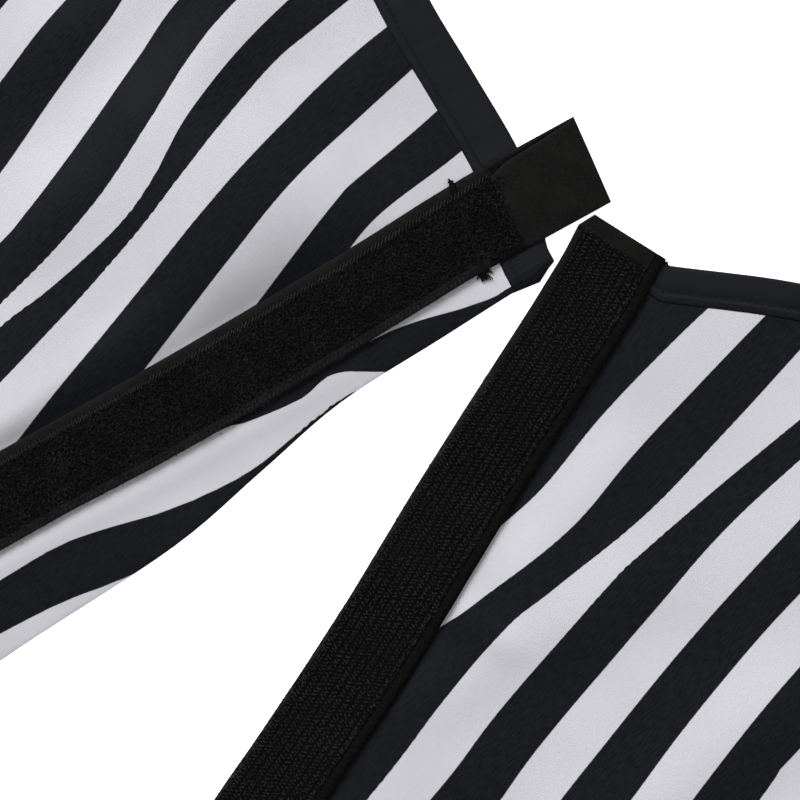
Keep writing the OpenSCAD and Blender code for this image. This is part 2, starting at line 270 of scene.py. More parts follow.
# Rectangles where the sheet lies flat under its hardware: middle and half size
QUIET = []
for line in ("front", "rear"):
    for strap, plate in (("surcingle_strap", "t_hook"), ("catch_strap", "catch_plate")):
        boxes = [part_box(f"{line}_{strap}"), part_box(f"{line}_{plate}"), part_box(f"{line}_{strap[:-6]}_patch")]
        low = np.min([box[0].xy[:] for box in boxes], axis=0)
        high = np.max([box[1].xy[:] for box in boxes], axis=0)
        QUIET.append(((low + high) / 2, (high - low) / 2))


def away_from(x, y, middle, half, reach):
    """0 inside a rectangle, rising to 1 at reach outside it."""
    dx = np.maximum(np.abs(x - middle[0]) - half[0], 0)
    dy = np.maximum(np.abs(y - middle[1]) - half[1], 0)
    return smoothstep(np.hypot(dx, dy) / reach)


def out_of_view(x, y):
    """Distance outside the camera's square picture, negative inside it."""
    dx, dy = x - CLOSURE[0] - VIEW_MIDDLE[0], y - CLOSURE[1] - VIEW_MIDDLE[1]
    a = dx * math.cos(VIEW_TURN) + dy * math.sin(VIEW_TURN)
    b = dy * math.cos(VIEW_TURN) - dx * math.sin(VIEW_TURN)
    return np.maximum(np.abs(a), np.abs(b)) - VIEW_WIDTH / 2


def bell(distance, width):
    return np.exp(-(distance / width) ** 2)


def crease(x, y, start, end, width, high):
    """Height of one low ridge that fades out at both ends."""
    start, end = CLOSURE + np.array(start) * MM, CLOSURE + np.array(end) * MM
    along = end - start
    length = np.linalg.norm(along)
    t = ((x - start[0]) * along[0] + (y - start[1]) * along[1]) / length ** 2
    side = ((x - start[0]) * along[1] - (y - start[1]) * along[0]) / length
    taper = smoothstep(t / FADE + 0.5) * smoothstep((1 - t) / FADE + 0.5)
    return high * MM * bell(side, width * MM) * taper


def round_loop_strap(x, y, height):
    """The height, pressed down by the stiff loop strap, with the puff and the fold beside it."""
    u, v = LOOP.measure(x, y)
    pressed = bell(np.maximum(-u, u - STRAP_W), 30 * MM) * (v < 460 * MM)
    high, wide = (np.interp(v, PUFF[:, 0], PUFF[:, k]) for k in (1, 2))
    beside = np.sin(np.pi / 2 * np.clip(-u / wide, 0, 1)) * (1 - smoothstep((-u - wide) / (150 * MM)))
    height = height * (1 - 0.8 * pressed) + beside * high * smoothstep((v - 40 * MM) / (30 * MM))
    raised, reach = (np.interp(v, STRAP_RAISE[:, 0], STRAP_RAISE[:, k]) for k in (1, 2))
    height = height + raised * (1 - smoothstep(-u / (40 * MM))) * np.clip(1 - (u - STRAP_W) / reach, 0, 1)
    return height + 0.22 * raised * bell(u - STRAP_W - 8 * MM, 7 * MM)


def lift(x, y):
    """Height of the cloth's underside over the ground."""
    x, y = np.asarray(x, float), np.asarray(y, float)
    swell = np.log1p(np.exp(SWELL_SHARPNESS * (sum_of(BODY_WAVES, x, y) - SWELL_START)))
    chest = (0.75 * sum_of(CHEST_WAVES, x, y) + 0.16 * sum_of(FINE_WAVES, x, y) + 1.8) * MM
    near = 1 - smoothstep((out_of_view(x, y) + 20 * MM) / (220 * MM))
    height = swell / SWELL_SHARPNESS * SWELL * (1 - near) + np.maximum(chest, 0.1 * MM) * near
    height = height + sum(crease(x, y, *row) for row in CREASES)
    for middle, half in QUIET:
        height = height * away_from(x, y, middle, half, 90 * MM)
    height = round_loop_strap(x, y, height)
    flatter = 0.35 + 0.65 * smoothstep(np.hypot(x - CLOSURE[0], y - CLOSURE[1]) / (90 * MM))
    return np.maximum(height * flatter, 0.0)


# ---- The printed stripes ----
# Edges of the stripes round the closure, in mm from the closure point, from left to right. At
# each edge the print's phase grows by a half. The print is black where its sine is positive.
LEFT_EDGES = [
    [(-285, 60), (-283, -60), (-280, -120), (-274, -162), (-262, -240), (-250, -420)],
    [(-262, 60), (-262, -60), (-256, -100), (-248, -150), (-238, -198), (-228, -260), (-222, -420)],
    [(-240, 60), (-240, -50), (-231, -100), (-222, -146), (-213, -200), (-211, -240), (-212, -420)],
    [(-220, 60), (-217, -40), (-212, -78), (-200, -124), (-190, -176), (-187, -246), (-190, -420)],
    [(-196, 60), (-198, -40), (-190, -100), (-178, -138), (-173, -170), (-175, -220), (-180, -270),
     (-182, -420)],
    [(-170, 60), (-177, -14), (-179, -54), (-169, -126), (-163, -176), (-157, -274), (-154, -420)],
    [(-146, 60), (-153, -18), (-152, -68), (-146, -140), (-134, -246), (-126, -320), (-124, -420)],
    [(-124, 60), (-125, 5), (-126, -76), (-118, -144), (-109, -212), (-98, -300), (-96, -420)],
    [(-100, 60), (-100, -10), (-103, -60), (-102, -78), (-92, -148), (-80, -240), (-70, -420)],
    [(-74, 60), (-75, -8), (-81, -68), (-74, -110), (-62, -150), (-50, -240), (-40, -420)],
]
MARGIN_EDGES = [
    [(6, 30), (-4, -41), (-12, -64), (-29, -97), (-45, -140), (-100, -270), (-150, -420)],
    [(24, 30), (2, -90), (-12, -115), (-36, -141), (-39, -164), (-50, -193), (-64, -225), (-132, -420)],
    [(44, 30), (0, -110), (-20.5, -138), (-24.8, -150), (-26.6, -165), (-27.8, -186), (-29.2, -205),
     (-34, -226), (-46, -258), (-70, -305), (-81, -347), (-96, -420)],
    [(66, 30), (0, -190), (-25, -255), (-34, -295), (-52, -340), (-72, -410), (-76, -430)],
]
RIGHT_EDGES = [
    [(46, 60), (46, 10), (48, -52), (56, -105), (58, -150), (60, -220), (60, -430)],
    [(80, 60), (78, 10), (80, -52), (86, -105), (84, -150), (82, -220), (80, -430)],
    [(102, 60), (104, 0), (107, -58), (112, -110), (105, -175), (98, -230), (92, -430)],
    [(128, 60), (132, 0), (135, -72), (129, -137), (126, -170), (131, -222), (141, -287), (152, -430)],
    [(160, 60), (154, 0), (148, -85), (148, -118), (156, -205), (165, -268), (178, -430)],
    [(174, 60), (170, -40), (176, -115), (185, -203), (196, -270), (212, -430)],
    [(192, 60), (194, -15), (200, -105), (211, -197), (226, -300), (244, -430)],
    [(222, 60), (223, -42), (230, -125), (240, -190), (258, -300), (276, -430)],
    [(248, 60), (251, -70), (262, -161), (288, -300), (304, -430)],
    [(278, 60), (283, -100), (288, -136), (318, -300), (334, -430)],
]
PITCH = 48 * MM                              # one black and one white stripe
LEFT_OFFSET, RIGHT_OFFSET = 6.0, -1.0        # joins the general phase to the edges' own
DRIFT_WAVES = wave_set(31, 18, 0.26, 0.80)
WOBBLE_WAVES = wave_set(37, 18, 0.10, 0.20)
WIDTH_WAVES = wave_set(41, 16, 0.14, 0.40)
# Places in the sheet, in metres, where a stripe forks or ends, and the way it turns
FORKS = [
    (-0.62, -0.72, 1), (-0.50, -0.30, -1), (-0.75, -0.05, 1), (-0.30, -0.02, 1), (-0.55, 0.26, -1),
    (-0.18, 0.34, -1), (-0.80, 0.52, 1), (-0.38, 0.62, 1), (-0.66, 0.84, -1), (-0.14, 0.80, -1),
    (0.60, -0.66, -1), (0.48, -0.28, 1), (0.80, -0.20, -1), (0.34, 0.12, -1), (0.70, 0.20, 1),
    (0.16, 0.44, 1), (0.52, 0.50, -1), (0.84, 0.62, 1), (0.28, 0.78, -1), (0.62, 0.90, 1),
    (0.02, 0.12, 1), (0.04, 0.66, -1),
]


def phase_between(edges, x, y):
    """Phase read between the listed edges, and carried on at the usual pitch beyond them."""
    lines = []
    for anchors in edges:
        line = smooth_line(anchors)[::-1] * MM + CLOSURE
        lines.append(np.interp(y, line[:, 1], line[:, 0]))
    phase = (x - lines[0]) / PITCH
    for k, (left, right) in enumerate(zip(lines[:-1], lines[1:])):
        share = np.clip((x - left) / np.maximum(right - left, 1 * MM), 0, 1)
        phase = np.where(x > left, 0.5 * (k + share), phase)
    last = lines[-1]
    return np.where(x > last, 0.5 * (len(lines) - 1) + (x - last) / PITCH, phase)


def general_phase(x, y):
    """Phase of the print over the whole sheet, with wavering stripes that fork."""
    phase = x / PITCH + 0.34 * sum_of(DRIFT_WAVES, x, y) + 0.07 * sum_of(WOBBLE_WAVES, x, y)
    for fork_x, fork_y, way in FORKS:
        phase = phase + way * np.arctan2(x - fork_x, y - fork_y) / (2 * math.pi)
    return phase


def stripe_value(x, y, zone):
    """Above 0 where the print is black. zone is left, right or body."""
    width = 0.28 * sum_of(WIDTH_WAVES, x, y)
    weight = 1 - smoothstep((out_of_view(x, y) - 25 * MM) / (130 * MM))
    if zone == "body":
        zone = np.where(x < 0, "left", "right")
    near = np.where(zone == "right", phase_between(RIGHT_EDGES, x, y), phase_between(LEFT_EDGES, x, y))
    far = general_phase(x, y) + np.where(zone == "right", RIGHT_OFFSET, LEFT_OFFSET)
    value = weight * np.sin(2 * math.pi * near) + (1 - weight) * (np.sin(2 * math.pi * far) + width)
    u, _ = LOOP.measure(x, y)
    margin = np.sin(2 * math.pi * phase_between(MARGIN_EDGES, x, y))
    in_margin = (zone == "left") & (u > STRAP_W / 2) & (y < CLOSURE[1] + 60 * MM)
    return np.where(in_margin, margin, value)


# ---- Mesh builders ----
def new_piece(name, points, faces):
    """A mesh object with every face's normal outwards."""
    mesh = bpy.data.meshes.new(name)
    mesh.from_pydata(points, [], faces)
    mesh.polygons.foreach_set("use_smooth", [True] * len(mesh.polygons))
    if len(mesh.polygons) > 1:
        mesh.calc_loop_triangles()
        corners = np.empty(len(mesh.loop_triangles) * 3, np.int32)
        mesh.loop_triangles.foreach_get("vertices", corners)
        a, b, c = (np.asarray(points, float)[corners[k::3]] for k in range(3))
        if np.einsum("ij,ij->", a, np.cross(b, c)) < 0:
            mesh.flip_normals()
    mesh.update()
    piece = bpy.data.objects.new(name, mesh)
    bpy.context.scene.collection.objects.link(piece)
    return piece


def plan_of(piece):
    """A piece's points seen from above, as an (n, 2) array."""
    return np.array([v.co.xy[:] for v in piece.data.vertices])


def give_values(piece, name, values):
    stored = piece.data.attributes.new(name, "FLOAT", "POINT")
    stored.data.foreach_set("value", np.asarray(values, np.float32))


def give_cloth(piece, along, across):
    """Stores each point's coordinates on its own cloth, in metres."""
    full = np.zeros((len(along), 3), np.float32)
    full[:, 0], full[:, 1] = along, across
    stored = piece.data.attributes.new("cloth", "FLOAT_VECTOR", "POINT")
    stored.data.foreach_set("vector", full.ravel())


def level(value):
    return lambda x, y: np.full(len(x), value)


ROW_SHARE = 0.866                            # rows of a grid of triangles, in steps


def slab(name, outline, step, under, over, round_off, frame_of, materials):
    """Closed solid over an outline, lying on the cloth: under and over give its two levels.
    Its upper edge is rounded off. frame_of, a strap's frame or None, gives its cloth coordinates."""
    border = subdivided(outline, step)
    normal = normals_of(border, closed=True)
    rings = [border + normal * round_off * share for share in (0.35, 1.0)]
    rings = [ring[inside(*ring.T, border)] for ring in rings]
    low, high = border.min(axis=0), border.max(axis=0)
    grid = [np.zeros((0, 2))]
    for k, row in enumerate(np.arange(low[1] + step / 2, high[1], step * ROW_SHARE)):
        across = np.arange(low[0] + step / 2 * (k % 2), high[0], step)
        grid.append(np.stack([across, np.full(len(across), row)], axis=1))
    grid = np.vstack(grid)
    grid = grid[inside(*grid.T, border + normal * (round_off + 0.45 * step))]
    plane = np.vstack([border, *rings, grid])
    made = geometry.delaunay_2d_cdt([Vector(p) for p in plane], [], [list(range(len(border)))], 1, 1e-8)
    points, faces, sources = made[0], made[2], made[3]
    x, y = np.array([p[:] for p in points]).T
    n, count, edge_count = len(points), len(border), len(border) + len(rings[0])
    drop = np.zeros(n)
    place_of = {}
    for k, source in enumerate(sources):
        if source and source[0] < count:
            place_of[source[0]] = k
            drop[k] = round_off
        elif source and source[0] < edge_count:
            drop[k] = 0.3 * round_off
    base = lift(x, y)
    upper = np.stack([x, y, base + over(x, y) - drop], axis=1)
    lower = np.stack([x, y, base + under(x, y)], axis=1)
    loop = [place_of[k] for k in range(count)]
    sides = [(a + n, b + n, b, a) for a, b in zip(loop, loop[1:] + loop[:1])]
    turned = [tuple(f) for f in faces]
    flipped = [tuple(k + n for k in reversed(f)) for f in faces]
    piece = new_piece(name, np.vstack([upper, lower]), turned + flipped + sides)
    cloth = (x, y) if frame_of is None else frame_of.measure(x, y)
    give_cloth(piece, *np.tile(cloth, 2))
    for material in materials:
        piece.data.materials.append(material)
    if len(materials) > 1:
        marks = np.zeros(len(piece.data.polygons), np.int32)
        marks[len(turned):len(turned) + len(flipped)] = 1
        piece.data.polygons.foreach_set("material_index", marks)
    return piece


def strip_faces(stations, count):
    """Faces of a closed strip whose sections have count points each."""
    faces = []
    for i in range(stations - 1):
        for k in range(count):
            a, b = i * count + k, i * count + (k + 1) % count
            faces.append((a, b, b + count, a + count))
    return faces + [tuple(reversed(range(count))), tuple(range((stations - 1) * count, stations * count))]


def sweep(name, path, profile, material, wave=None, start=None):
    """Closed strip along a line: profile lists (distance to the left, height over the cloth).
    start moves the points of its first section back along the line, by their distance to the left."""
    profile = np.array(profile, float) * MM
    normal = normals_of(path)
    stations, count = len(path), len(profile)
    along = lengths_along(path)
    plane = path[:, None] + normal[:, None] * profile[None, :, 0:1]
    if start is not None:
        plane[0] += np.multiply.outer(start(profile[:, 0]), [normal[0, 1], -normal[0, 0]])
    height = lift(plane[..., 0].ravel(), plane[..., 1].ravel()).reshape(stations, count) + profile[:, 1]
    if wave is not None:
        height = height + wave(along)[:, None] * (profile[:, 1] > profile[:, 1].mean())
    points = np.concatenate([plane, height[..., None]], axis=2).reshape(-1, 3)
    piece = new_piece(name, points, strip_faces(stations, count))
    give_cloth(piece, np.repeat(along, count), np.tile(profile[:, 0], stations))
    piece.data.materials.append(material)
    return piece


def tubes(name, lines, radii, flat, material):
    """Many closed four-sided tubes in one mesh. lines is (n, points, 3), radii is (n, points),
    and flat is (n, 3), a direction square to each line's plane."""
    n, rings, _ = lines.shape
    tangent = np.gradient(lines, axis=1)
    tangent /= np.maximum(np.linalg.norm(tangent, axis=2), 1e-9)[..., None]
    side = np.broadcast_to(flat[:, None], tangent.shape)
    up = np.cross(side, tangent)
    corner = np.arange(4) * math.pi / 2
    ring = (np.cos(corner)[:, None] * side[:, :, None] + np.sin(corner)[:, None] * up[:, :, None])
    points = (lines[:, :, None] + radii[:, :, None, None] * ring).reshape(-1, 3)
    first = np.arange(n)[:, None, None] * rings * 4 + np.arange(rings - 1)[None, :, None] * 4
    k = np.arange(4)[None, None, :]
    a, b = first + k, first + (k + 1) % 4
    walls = np.stack([a, a + 4, b + 4, b], axis=-1).reshape(-1, 4)
    start = np.arange(n)[:, None] * rings * 4
    caps = np.vstack([start + np.array([0, 1, 2, 3]), start + (rings - 1) * 4 + np.array([3, 2, 1, 0])])
    piece = new_piece(name, points, np.vstack([walls, caps]).tolist())
    piece.data.materials.append(material)
    return piece


def stitches(name, path, across, spacing, length, radius, up, material, slant=0.0):
    """A row of stitches beside a line, each a short bow of thread pressed into the cloth."""
    row = evenly(path + normals_of(path) * across, spacing)
    left = normals_of(row)
    heading = np.stack([left[:, 1], -left[:, 0]], axis=1) * math.cos(slant) + left * math.sin(slant)
    t = np.linspace(-0.5, 0.5, 5)
    plane = row[:, None] + heading[:, None] * (t * length)[None, :, None]
    bow = (1 - (2 * t) ** 2) * radius * 1.3 - radius * 0.9
    base = lift(row[:, 0], row[:, 1])[:, None] + up
    lines = np.concatenate([plane, (base + bow)[..., None]], axis=2)
    flat = np.stack([-heading[:, 1], heading[:, 0], np.zeros(len(row))], axis=1)
    radii = np.broadcast_to(radius * (1 - 0.55 * (2 * t) ** 4), lines.shape[:2])
    return tubes(name, lines, radii, flat, material)


# ---- Materials ----
class Finish:
    """One material's node tree, with short calls to add to it."""

    def __init__(self, name, **sockets):
        self.material = bpy.data.materials.new(name)
        self.material.use_nodes = True
        self.tree = self.material.node_tree
        self.shader = self.tree.nodes["Principled BSDF"]
        for socket, value in sockets.items():
            self.shader.inputs[socket.replace("_", " ")].default_value = value

    def add(self, kind, inputs=(), **settings):
        """A node with its settings, and its inputs linked or set."""
        node = self.tree.nodes.new("ShaderNode" + kind)
        for key, value in settings.items():
            setattr(node, key, value)
        for key, value in dict(inputs).items():
            if isinstance(value, bpy.types.NodeSocket):
                self.tree.links.new(value, node.inputs[key])
            else:
                node.inputs[key].default_value = value
        return node

    def value(self, name):
        return self.add("Attribute", attribute_name=name).outputs["Fac"]

    def place(self, name="cloth"):
        return self.add("Attribute", attribute_name=name).outputs["Vector"]

    def own(self):
        return self.add("TexCoord").outputs["Object"]

    def scaled(self, vector, scale):
        return self.add("Mapping", {"Vector": vector, "Scale": scale}).outputs["Vector"]

    def noise(self, vector, scale, detail=3.0):
        settings = {"Vector": vector, "Scale": scale, "Detail": detail, "Roughness": 0.6}
        return self.add("TexNoise", settings).outputs["Fac"]

    def ribs(self, vector, spacing, direction, distortion=0.0):
        """Ridges across x or y at a spacing in metres."""
        settings = {"Vector": vector, "Scale": 0.3142 / spacing, "Distortion": distortion,
                    "Detail": 1.0, "Detail Scale": 2.0}
        return self.add("TexWave", settings, bands_direction=direction).outputs["Fac"]

    def math(self, operation, a, b=0.0, c=0.0):
        return self.add("Math", {0: a, 1: b, 2: c}, operation=operation).outputs["Value"]

    def step(self, value, low, high, to_low=0.0, to_high=1.0):
        settings = {"Value": value, "From Min": low, "From Max": high, "To Min": to_low, "To Max": to_high}
        return self.add("MapRange", settings, interpolation_type="SMOOTHSTEP").outputs["Result"]

    def mix(self, factor, a, b):
        return self.add("Mix", {0: factor, 6: a, 7: b}, data_type="RGBA").outputs[2]

    def bump(self, *layers):
        """Adds layers of (height socket, depth in metres), from the coarsest to the finest."""
        normal = None
        for height, depth in layers:
            settings = {"Height": height, "Distance": depth, "Strength": 1.0}
            if normal is not None:
                settings["Normal"] = normal
            normal = self.add("Bump", settings).outputs["Normal"]
        self.tree.links.new(normal, self.shader.inputs["Normal"])

    def feed(self, **sockets):
        for socket, value in sockets.items():
            self.tree.links.new(value, self.shader.inputs[socket.replace("_", " ")])
        return self.material


WHITE = (0.632, 0.628, 0.668, 1)
WHITE_DIM = (0.590, 0.587, 0.628, 1)
BLACK = (0.0068, 0.0072, 0.0096, 1)
BLACK_DIM = (0.0046, 0.0050, 0.0070, 1)


def zebra_cloth():
    """Tightly woven polyester with cross ribs, printed in black on a cool white."""
    finish = Finish("zebra_cloth", Roughness=0.5, Specular_IOR_Level=0.045)
    cloth = finish.place()
    ribs = finish.ribs(cloth, 1.05 * MM, "Y", 0.4)
    yarns = finish.ribs(cloth, 0.72 * MM, "X", 0.3)
    thread = finish.noise(finish.scaled(cloth, (900, 180, 1)), 1.0)
    cloud = finish.noise(cloth, 14.0, 2.0)
    weave = finish.math("MULTIPLY", ribs, finish.step(thread, 0.25, 0.7))
    black = finish.mix(cloud, BLACK_DIM, BLACK)
    black = finish.mix(finish.math("MULTIPLY", weave, 0.9), black, (0.0200, 0.0208, 0.0250, 1))
    white = finish.mix(cloud, WHITE_DIM, WHITE)
    white = finish.mix(finish.math("MULTIPLY", weave, 0.42), white, (0.50, 0.497, 0.530, 1))
    fray = finish.math("MULTIPLY_ADD", finish.noise(cloth, 900.0, 1.0), 0.024, -0.012)
    stripe = finish.math("ADD", finish.value("stripe"), fray)
    print_mask = finish.step(stripe, -0.035, 0.035)
    color = finish.mix(print_mask, white, black)
    roughness = finish.step(thread, 0.2, 0.8, 0.42, 0.6)
    finish.bump((cloud, 0.5 * MM), (ribs, 0.06 * MM), (yarns, 0.03 * MM), (thread, 0.03 * MM))
    return finish.feed(Base_Color=color, Roughness=roughness)


def cloth_reverse():
    """Unprinted inside of the cloth, where the stripes only shine through, and its binding's inner half."""
    finish = Finish("cloth_reverse", Roughness=0.7, Specular_IOR_Level=0.1)
    cloth = finish.place()
    ribs = finish.ribs(cloth, 1.05 * MM, "Y", 0.4)
    ghost = finish.step(finish.value("stripe"), -0.12, 0.12, 0.0, 0.55)
    plain = finish.mix(finish.noise(cloth, 18.0), (0.50, 0.495, 0.52, 1), (0.56, 0.555, 0.58, 1))
    color = finish.mix(ghost, plain, (0.15, 0.15, 0.165, 1))
    bound = finish.step(finish.value("trim"), 0.3 * MM, -0.3 * MM)
    color = finish.mix(bound, color, (0.0105, 0.0110, 0.0135, 1))
    finish.bump((ribs, 0.06 * MM))
    return finish.feed(Base_Color=color)


def edge_binding():
    """Black grosgrain tape with fine ribs across it."""
    finish = Finish("edge_binding", Roughness=0.55, Specular_IOR_Level=0.05)
    cloth = finish.place()
    ribs = finish.ribs(cloth, 0.95 * MM, "X", 0.5)
    cloud = finish.noise(cloth, 35.0, 4.0)
    color = finish.mix(cloud, (0.0085, 0.0090, 0.0112, 1), (0.0125, 0.0130, 0.0160, 1))
    color = finish.mix(finish.math("MULTIPLY", ribs, 0.4), color, (0.0150, 0.0157, 0.0188, 1))
    finish.bump((cloud, 0.4 * MM), (ribs, 0.10 * MM))
    return finish.feed(Base_Color=color, Roughness=finish.step(cloud, 0.3, 0.7, 0.45, 0.62))


def closure_webbing():
    """Smooth satin tape behind the loops and hooks."""
    finish = Finish("closure_webbing", Roughness=0.5, Specular_IOR_Level=0.05)
    cloth = finish.place()
    grain = finish.noise(finish.scaled(cloth, (1500, 420, 1)), 1.0, 3.0)
    ribs = finish.ribs(cloth, 0.8 * MM, "Y", 1.5)
    cloud = finish.noise(cloth, 60.0, 4.0)
    blotch = finish.step(cloud, 0.3, 0.7)
    color = finish.mix(blotch, (0.0030, 0.0032, 0.0030, 1), (0.0072, 0.0075, 0.0068, 1))
    color = finish.mix(finish.step(grain, 0.35, 0.75, 0.0, 0.8), color, (0.0120, 0.0123, 0.0112, 1))
    finish.bump((cloud, 0.4 * MM), (grain, 0.10 * MM), (ribs, 0.04 * MM))
    return finish.feed(Base_Color=color, Roughness=finish.step(grain, 0.2, 0.8, 0.42, 0.6))


def tape_ground():
    """Dark woven ground that the loops and hooks stand in."""
    finish = Finish("tape_ground", Roughness=0.75, Specular_IOR_Level=0.03)
    cloth = finish.place()
    knots = finish.add("TexVoronoi", {"Vector": cloth, "Scale": 620.0}).outputs["Distance"]
    cloud = finish.noise(cloth, 160.0, 4.0)
    color = finish.mix(knots, (0.0050, 0.0054, 0.0048, 1), (0.0022, 0.0024, 0.0022, 1))
    color = finish.mix(finish.step(cloud, 0.5, 0.8, 0.0, 0.6), color, (0.0055, 0.0062, 0.0052, 1))
    finish.bump((cloud, 0.9 * MM), (knots, 0.5 * MM))
    return finish.feed(Base_Color=color)


def yarn(name, dark, light, roughness, level):
    """Nylon filament, with a shade that changes from one filament to the next."""
    finish = Finish(name, Roughness=roughness, Specular_IOR_Level=level)
    place = finish.own()
    shade = finish.noise(place, 420.0, 2.0)
    patch = finish.noise(place, 55.0, 2.0)
    shade = finish.math("MULTIPLY_ADD", patch, 0.5, finish.math("MULTIPLY", shade, 0.75))
    finish.bump((finish.noise(place, 5000.0, 2.0), 0.02 * MM))
    return finish.feed(Base_Color=finish.mix(finish.step(shade, 0.47, 0.80), dark, light))


def fleece():
    """Black fleece with a clumped pile."""
    finish = Finish("fleece", Roughness=0.95, Specular_IOR_Level=0.15, Sheen_Weight=0.5, Sheen_Roughness=0.4)
    place = finish.own()
    clumps = finish.add("TexVoronoi", {"Vector": place, "Scale": 210.0}).outputs["Distance"]
    fibre = finish.noise(place, 1500.0, 4.0)
    color = finish.mix(clumps, (0.020, 0.020, 0.023, 1), (0.007, 0.007, 0.008, 1))
    finish.bump((clumps, 2.0 * MM), (fibre, 0.5 * MM))
    return finish.feed(Base_Color=finish.mix(finish.step(fibre, 0.5, 0.9), color, (0.03, 0.03, 0.034, 1)))


def strap_webbing():
    """Heavy black webbing with a twill of thick yarns."""
    finish = Finish("strap_webbing", Roughness=0.6, Specular_IOR_Level=0.35, Sheen_Weight=0.1)
    cloth = finish.place()
    turned = finish.add("VectorRotate", {"Vector": cloth, "Angle": math.radians(32)}).outputs["Vector"]
    twill = finish.ribs(turned, 2.1 * MM, "X", 0.3)
    yarns = finish.ribs(cloth, 1.2 * MM, "Y", 0.3)
    cloud = finish.noise(cloth, 50.0, 4.0)
    color = finish.mix(twill, (0.0055, 0.0058, 0.0062, 1), (0.015, 0.0155, 0.017, 1))
    color = finish.mix(finish.math("MULTIPLY", cloud, 0.4), color, (0.009, 0.009, 0.01, 1))
    finish.bump((twill, 0.25 * MM), (yarns, 0.15 * MM))
    return finish.feed(Base_Color=color)


def metal_hardware():
    """Nickel plated steel, brushed and a little scuffed."""
    finish = Finish("metal_hardware", Metallic=1.0, Roughness=0.3)
    place = finish.own()
    brushed = finish.noise(finish.scaled(place, (60, 2600, 600)), 1.0, 3.0)
    scuffs = finish.noise(place, 95.0, 5.0)
    color = finish.mix(scuffs, (0.58, 0.58, 0.59, 1), (0.66, 0.66, 0.67, 1))
    finish.bump((brushed, 0.03 * MM))
    return finish.feed(Base_Color=color, Roughness=finish.step(scuffs, 0.3, 0.75, 0.28, 0.36))


def floor_finish():
    """Plain pale ground with a faint grain."""
    finish = Finish("floor", Roughness=0.9, Specular_IOR_Level=0.1, Emission_Strength=0.8,
                    Emission_Color=(1, 1, 1, 1))
    grain = finish.noise(finish.own(), 40.0, 4.0)
    return finish.feed(Base_Color=finish.mix(grain, (0.93, 0.93, 0.935, 1), (0.955, 0.955, 0.955, 1)))


ZEBRA = zebra_cloth()
REVERSE = cloth_reverse()
BINDING = edge_binding()
WEBBING = closure_webbing()
GROUND = tape_ground()
PILE = yarn("loop_pile", (0.0012, 0.0015, 0.0013, 1), (0.0150, 0.0168, 0.0148, 1), 0.45, 0.22)
HOOKS = yarn("hook_nylon", (0.0050, 0.0054, 0.0051, 1), (0.0360, 0.0380, 0.0360, 1), 0.3, 0.45)
SEAM = yarn("seam_thread", (0.0260, 0.0275, 0.0260, 1), (0.0520, 0.0540, 0.0520, 1), 0.5, 0.25)
THREAD = yarn("thread", (0.0085, 0.0088, 0.0100, 1), (0.0150, 0.0155, 0.0175, 1), 0.5, 0.2)
FLEECE = fleece()
STRAP = strap_webbing()
METAL = metal_hardware()


# ---- How pieces follow the bodies ----
def fold_side(name):
    """Point on a flap's fold line and the direction from it into the flap."""
    joint = JOINTS[name + "_fold"]
    axis = np.array(joint["axis"][:2])
    side = np.array([-axis[1], axis[0]]) / np.linalg.norm(axis)
    if (CLOSURE - joint["pos_m"][:2]) @ side < 0:
        side = -side
    return np.array(joint["pos_m"][:2]), side


def settle(piece, body, slot, *nodes):
    """Hides the CAD nodes that a piece stands for and parents the piece to its body; pieces of the tail flap or
    pull tab, and flap pieces that reach into the fold's bend, stay unparented. slot is not used.
    """
    if nodes:
        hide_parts(*nodes)
    if body in ("left_flap", "right_flap"):
        point, side = fold_side(body)
        if ((plan_of(piece) - point) @ side).min() < FLAP_BLEND:
            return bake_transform(piece)
    if body == "tail_flap":
        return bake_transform(piece)
    if body == "pull_tab":
        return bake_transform(piece)
    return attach(piece, body)


PANEL_GAP = 0.83 * MM                        # between the sheet's edge and a flap's in the CAD


def joined_outline(node, body):
    """A flap's outline, with its fold edge moved out to meet the sheet."""
    outline = boundary_of(node)
    if body == "sheet":
        return outline
    if body == "tail_flap":
        near = outline[:, 1] < JOINTS["tail_flap_lift"]["pos_m"][1] + 1.5 * MM
        outline[near, 1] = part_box("left_body_panel")[1].y
        return outline
    point, side = fold_side(body)
    depth = (outline - point) @ side
    outline[np.abs(depth) < PANEL_GAP] -= side * PANEL_GAP
    if body == "left_flap":
        return outline
    return HOOK.bent(outline, lambda p: np.clip(1 - np.abs(HOOK.straight(*p.T)[0]) / (30 * MM), 0, 1))


def panel(name, node, body, step, zone):
    """A closed sheet of printed cloth over a CAD panel."""
    outline = joined_outline(node, body)
    piece = slab(name, outline, step, level(0.0), level(FABRIC_TOP), 0.35 * MM, None, (ZEBRA, REVERSE))
    give_values(piece, "stripe", stripe_value(*plan_of(piece).T, zone))
    settle(piece, body, "zebra_cloth", node)
    size = outline.max(axis=0) - outline.min(axis=0)
    return piece, outline, tuple(float(s) for s in size)


def binding_profile(width):
    """Section of a folded tape: round over the edge, with a stitched groove near its inner side."""
    top, groove = BINDING_TOP / MM, width - 5.0
    return [
        (-0.3, 0.15), (-1.0, 0.35), (-1.2, 0.9), (-1.1, 1.5), (-0.6, top - 0.05), (0.8, top + 0.25),
        (3.0, top + 0.35), (width * 0.45, top + 0.3), (groove - 2.6, top + 0.2),
        (groove - 1.2, top - 0.55), (groove - 0.4, top - 0.6), (groove + 0.4, top + 0.4),
        (groove + 1.8, top + 0.45), (width - 1.2, top - 0.1), (width, top - 0.55), (width, 1.1),
        (width * 0.5, 1.1),
    ]


FOLD_REACH, PAST_FOLD = 9 * MM, 1.5 * MM     # ends this near a fold line are carried this far past it


